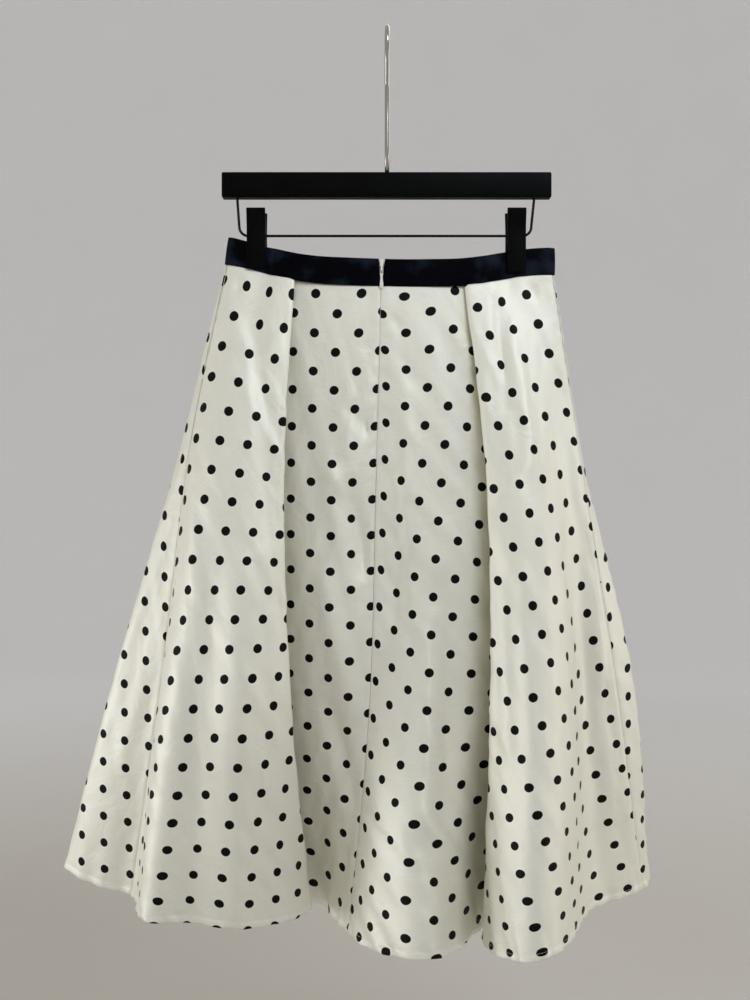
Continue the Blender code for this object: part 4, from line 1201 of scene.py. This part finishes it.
def make_zip(s):
    """Tape, coil, slider and the pull that swings on it."""
    enamel = cream_enamel(tuple(s.metal))
    tape_cloth = woven_tape(tuple(s.tape))
    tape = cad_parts["zip_tape"]
    tape.data.materials.clear()
    tape.data.materials.append(tape_cloth)
    tree = coil_tree()
    ring = RING_ROWS[:, 0]
    low = float(band_low(ZIP_X)[0])
    # the coil starts 14 mm below the band's top and runs on behind the seam
    line = [(ZIP_X, -11.3 + 1.95, low + BAND_H - 14.0 - 0.5 * k) for k in range(0, 20, 4)]
    line += [(ring[k, 0], ring[k, 1] + 1.0, low - SEAM - ROW_T[k])
             for k in range(1, len(ROW_T)) if ROW_T[k] <= ZIP_LENGTH]
    coil = run_nodes("zip_coil", tree, [line],
                     {"Pitch": 0.0013, "Width": 0.0034, "Thick": 0.00038, "Material": tape_cloth})
    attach(coil, "skirt")

    # the slider: a bridge that holds the pull's pin, a body between the tapes, a plate
    y0, z0 = ZIP_PIN
    x0, x1 = ZIP_X - 0.8, ZIP_X + 0.8
    arch = arc(y0 - 0.6, z0 - 0.1, 2.3, 250, 110, 8)
    below = arc(y0 - 0.4, z0 - 0.1, 1.35, 110, 250, 8)
    foot = -12.3
    outline = ([(foot, -256.2)] + arch + [(foot, -249.9), (foot, -251.4)] + below
               + [(foot, -254.9)])
    bridge = prism("slider_bridge", outline, "x", x0, x1, enamel)
    bevelled(bridge, 0.22, 2, 40)
    body_line = [(-1.8, -242.9), (-1.2, -242.4), (1.2, -242.4), (1.8, -242.9), (1.8, -248.6),
                 (0.9, -251.0), (0.85, -256.3), (-0.85, -256.3), (-0.9, -251.0), (-1.8, -248.6)]
    body = prism("slider_body", [(ZIP_X + x, z) for x, z in body_line], "y", -12.5, -8.8, enamel)
    bevelled(body, 0.35, 3, 30)
    plate_line = [(-3.3, -244.5), (-2.2, -242.7), (2.2, -242.7), (3.3, -244.5),
                  (2.6, -256.9), (-2.6, -256.9)]
    plate = prism("slider_plate", [(ZIP_X + x, z) for x, z in plate_line], "y", -9.9, -8.75, enamel)
    bevelled(plate, 0.3, 2, 30)
    for piece in (bridge, body, plate):
        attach(piece, "skirt")
    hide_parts("zip_slider")

    # the pull: a loop round the pin, a waist and a rounded drop, with a window at its top
    top = z0 + 0.5
    w = PULL_W / 2
    half_line = [(ZIP_X + x, z) for x, z in ((1.5, top), (1.75, top - 1.0), (1.6, -258.4),
                                             (1.15, -260.4), (1.3, -263.4), (1.75, -267.0))]
    end = arc(ZIP_X, PULL_END_Z + w, w, 0, -180, 10)
    outline = half_line + end + [(2 * ZIP_X - x, z) for x, z in half_line[::-1]]
    window = [(ZIP_X + x, z0 - down) for x, down in ((1.1, 0.5), (1.1, 3.7), (0.7, 4.3),
                                                     (-0.7, 4.3), (-1.1, 3.7), (-1.1, 0.5))]
    pull = prism("pull_tab", outline, "y", y0 - PULL_T / 2, y0 + PULL_T / 2, enamel)
    hole = prism("pull_hole", window, "y", y0 - 2, y0 + 2, enamel)
    mod = pull.modifiers.new("window", "BOOLEAN")
    mod.operation, mod.solver, mod.object = "DIFFERENCE", "EXACT", hole
    applied(pull)
    bpy.data.objects.remove(hole, do_unlink=True)
    bevelled(pull, 0.28, 3, 40)
    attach(pull, "pull")
    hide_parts("zip_pull")


def wire_path():
    """The wire loop: down from the bar at each side, and level between the two bends."""
    left = [(-157.0, -166.0), (-157.0, -178.0), (-155.2, -204.0)]
    right = [(151.6, -204.0), (154.3, -178.0), (154.3, -166.0)]
    bend = 9.5
    lc = arc(-155.0 + bend, WIRE_Z + bend, bend, 188, 270, 10)
    rc = arc(151.5 - bend, WIRE_Z + bend, bend, 270, 352, 10)
    return [(x, 0.0, z) for x, z in left + lc + rc + right]


def hook_path():
    """The hook: straight up from the bar, a bend back, and round over the rail."""
    zc = STEM_R - HOOK_R
    pts = [(0, -66), (-2.2, -57), (-9.0, -46), (-16.0, -35)]
    pts += arc(0, zc, HOOK_R, 195, -8, 9)
    pts += [(21.6, -33), (24.2, HOOK_TAIL_Z + 3), (25.0, HOOK_TAIL_Z)]
    smooth = [(0.0, -160.0), (0.0, -120.0), (0.0, -90.0)] + [tuple(p) for p in curve_points(pts, 6)]
    return [(0.0, float(y), float(z)) for y, z in smooth]


def make_bar(s):
    """The bar: a solid moulding with rounded edges."""
    black = shared("moulded_black_abs", lambda: moulded_black(tuple(s.plastic)))
    d, x0, x1, z0, z1 = BAR["depth"] / 2, BAR["x0"], BAR["x1"], BAR["z0"], BAR["z1"]
    bar = prism("bar_moulding", [(-d, z0), (d, z0), (d, z1), (-d, z1)], "x", x0, x1, black)
    bevelled(bar, 1.7, 4, 40)
    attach(bar, "skirt")
    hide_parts("hanger_bar")


def make_wires(s):
    """The hook and the loop below the bar."""
    hook = tube("hook_wire", hook_path(), STEM_R, 24, plated_steel(tuple(s.hook)), tip=True)
    loop = tube("loop_wire", wire_path(), WIRE_R, 16, coated_wire(tuple(s.wire)))
    for piece, node, slot in ((hook, "hanger_hook", "hook_steel"),
                              (loop, "hanger_wire", "black_wire")):
        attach(piece, "skirt")
        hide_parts(node)


# a clip's plate from the side: z and its inner face's distance from the middle plane; the
# last z gives way to each clip's own lower end
CLIP_SIDE = (
    (CLIP_TOP_Z, 10.6), (-200.0, 8.0), (-209.0, 6.2), (-222.0, 6.0), (-234.0, 6.3),
    (-245.0, 5.9), (-256.0, 5.6),
)


def make_clips(s):
    """Two sprung clips: a front and a rear plate each, hinged round the wire."""
    black = shared("moulded_black_abs", lambda: moulded_black(tuple(s.plastic)))
    w = CLIP_W / 2
    for side, xc, low in CLIPS:
        for part, sgn in (("front", -1), ("rear", 1)):
            knots = [(sgn * d, z) for z, d in CLIP_SIDE[:-1]] + [(sgn * CLIP_SIDE[-1][1], low)]
            inner = [tuple(p) for p in curve_points(knots, 3)]
            thick = [CLIP_T * (0.8 + 0.2 * math.sin(math.pi * k / (len(inner) - 1)))
                     for k in range(len(inner))]
            outer = [(y + sgn * th, z) for (y, z), th in zip(inner, thick)]
            plate = prism("clip_%s_%s_plate" % (side, part), inner + outer[::-1], "x",
                          xc - w, xc + w, black)
            bevelled(plate, 0.85, 3, 50)
            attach(plate, "skirt")
            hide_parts("clip_%s_%s" % (side, part))
        hub = prism("clip_%s_barrel" % side, arc(0, WIRE_Z, HUB_R, 0, 348.75, 31), "x",
                    xc - HUB_W / 2, xc + HUB_W / 2, black)
        bevelled(hub, 0.5, 2, 50)
        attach(hub, "skirt")
        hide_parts("clip_%s_hub" % side)


def make_stage(s):
    """A floor that sweeps up into a wall all round, soft lights and the camera."""
    paint = pale_paint(tuple(s.backdrop))
    profile = [(1500.0, FLOOR_Z), (3200.0, FLOOR_Z)]
    profile += [(STAGE_RIM - STAGE_BEND + STAGE_BEND * math.sin(a),
                 FLOOR_Z + STAGE_BEND - STAGE_BEND * math.cos(a))
                for a in np.linspace(0.0, math.pi / 2, 14)]
    profile += [(STAGE_RIM, STAGE_TOP)]
    turns, m = 72, len(profile)
    verts = [(r * math.cos(2 * math.pi * k / turns), r * math.sin(2 * math.pi * k / turns), z)
             for k in range(turns) for r, z in profile] + [(0.0, 0.0, FLOOR_Z)]
    faces = [[k * m + i, ((k + 1) % turns) * m + i, ((k + 1) % turns) * m + i + 1, k * m + i + 1]
             for k in range(turns) for i in range(m - 1)]
    faces += [[turns * m, ((k + 1) % turns) * m, k * m] for k in range(turns)]
    floor = mesh_piece("stage_bowl", verts, faces, paint, outward=False)
    floor.data.flip_normals()

    def area(name, place, size, power, colour, target=(0.0, 0.0, -0.55), spread=180):
        data = bpy.data.lights.new(name, "AREA")
        data.shape = "RECTANGLE"
        data.size, data.size_y = size
        data.energy = power
        data.color = colour[:3]
        data.spread = math.radians(spread)
        ob = link(bpy.data.objects.new(name, data))
        ob.location = place
        ob.rotation_euler = (Vector(target) - Vector(place)).to_track_quat("-Z", "Y").to_euler()
        ob.visible_camera = False

    area("key_light", (0.80, -1.28, 0.80), (0.9, 0.6), s.key * 1.12, hex_colour("#E4F0FF"),
         (0.0, 0.0, -0.25))
    # the two side lights are narrow, so that they miss the floor
    area("left_light", (-1.9, -0.45, -0.75), (0.6, 0.8), s.key * 0.18, hex_colour("#F6FAFF"),
         (0.0, 0.0, -0.66), 85)
    area("right_light", (1.9, -0.25, -0.6), (0.6, 1.2), s.key * 0.09, hex_colour("#FFF9F0"),
         (0.0, 0.0, -0.62), 85)
    area("back_light", (0.5, 1.6, 0.7), (1.4, 1.0), s.key * 0.8, hex_colour("#FFFFFF"))
    world = bpy.data.worlds.new("studio")
    bpy.context.scene.world = world
    world.use_nodes = True
    glow = world.node_tree.nodes["Background"]
    glow.inputs["Color"].default_value = hex_colour("#FFFAF1")
    glow.inputs["Strength"].default_value = 0.53
    bpy.context.scene.view_settings.view_transform = "Standard"

    cam = bpy.data.cameras.new("camera")
    cam.sensor_width = 36.0
    cam.lens = cam.sensor_width * s.distance / VIEW_HEIGHT
    ob = link(bpy.data.objects.new("camera", cam))
    ob.location = (CAMERA_X, -s.distance, CAMERA_Z)
    ob.rotation_euler = (math.radians(90), 0, 0)
    bpy.context.scene.camera = ob


# ------------------------------------------------------------ operators
class SKIRT_OT_front(bpy.types.Operator):
    """Make the front panel with its hem"""
    bl_idname = "skirt.front"
    bl_label = "Front Panel"

    def execute(self, context):
        make_panel("skirt_front", context.scene.skirt_cloth)
        return {"FINISHED"}


class SKIRT_OT_backs(bpy.types.Operator):
    """Make the two back panels with their hems"""
    bl_idname = "skirt.backs"
    bl_label = "Back Panels"

    def execute(self, context):
        make_panel("skirt_back_left", context.scene.skirt_cloth)
        make_panel("skirt_back_right", context.scene.skirt_cloth)
        return {"FINISHED"}


class SKIRT_OT_band(bpy.types.Operator):
    """Make the waistband"""
    bl_idname = "skirt.band"
    bl_label = "Waistband"

    def execute(self, context):
        make_band(context.scene.skirt_band)
        return {"FINISHED"}


class SKIRT_OT_zip(bpy.types.Operator):
    """Make the zip: tape, coil, slider and pull"""
    bl_idname = "skirt.zip"
    bl_label = "Zip"

    def execute(self, context):
        make_zip(context.scene.skirt_band)
        return {"FINISHED"}


class SKIRT_OT_bar(bpy.types.Operator):
    """Make the hanger's bar"""
    bl_idname = "skirt.bar"
    bl_label = "Hanger Bar"

    def execute(self, context):
        make_bar(context.scene.skirt_hanger)
        return {"FINISHED"}


class SKIRT_OT_wires(bpy.types.Operator):
    """Make the hanger's hook and wire loop"""
    bl_idname = "skirt.wires"
    bl_label = "Hook and Loop"

    def execute(self, context):
        make_wires(context.scene.skirt_hanger)
        return {"FINISHED"}


class SKIRT_OT_clips(bpy.types.Operator):
    """Make the two clips"""
    bl_idname = "skirt.clips"
    bl_label = "Clips"

    def execute(self, context):
        make_clips(context.scene.skirt_hanger)
        return {"FINISHED"}


class SKIRT_OT_stage(bpy.types.Operator):
    """Make the floor, lights and camera"""
    bl_idname = "skirt.stage"
    bl_label = "Stage"

    def execute(self, context):
        make_stage(context.scene.skirt_stage)
        return {"FINISHED"}


class SKIRT_PT_panel(bpy.types.Panel):
    """Lists the pieces in the 3D view's sidebar"""
    bl_idname = "SKIRT_PT_panel"
    bl_label = "Skirt on a Hanger"
    bl_space_type = "VIEW_3D"
    bl_region_type = "UI"
    bl_category = "Skirt"

    def draw(self, context):
        col = self.layout.column(align=True)
        for op in OPERATORS:
            col.operator(op.bl_idname)
        for group in (context.scene.skirt_cloth, context.scene.skirt_band,
                      context.scene.skirt_hanger, context.scene.skirt_stage):
            box = self.layout.box()
            for key in group.__annotations__:
                box.prop(group, key)


OPERATORS = (SKIRT_OT_front, SKIRT_OT_backs, SKIRT_OT_band, SKIRT_OT_zip,
             SKIRT_OT_bar, SKIRT_OT_wires, SKIRT_OT_clips, SKIRT_OT_stage)
GROUPS = (("skirt_cloth", SkirtClothSettings), ("skirt_band", SkirtBandSettings),
          ("skirt_hanger", SkirtHangerSettings), ("skirt_stage", SkirtStageSettings))


def register():
    for _, cls in GROUPS:
        bpy.utils.register_class(cls)
    for cls in OPERATORS + (SKIRT_PT_panel,):
        bpy.utils.register_class(cls)
    for key, cls in GROUPS:
        setattr(bpy.types.Scene, key, PointerProperty(type=cls))


def unregister():
    for key, _ in GROUPS:
        delattr(bpy.types.Scene, key)
    for cls in (SKIRT_PT_panel,) + OPERATORS[::-1]:
        bpy.utils.unregister_class(cls)
    for _, cls in GROUPS[::-1]:
        bpy.utils.unregister_class(cls)


def main():
    register()
    bpy.ops.skirt.front()
    bpy.ops.skirt.backs()
    bpy.ops.skirt.band()
    bpy.ops.skirt.zip()
    bpy.ops.skirt.bar()
    bpy.ops.skirt.wires()
    bpy.ops.skirt.clips()
    bpy.ops.skirt.stage()


if __name__ == "__main__":
    main()
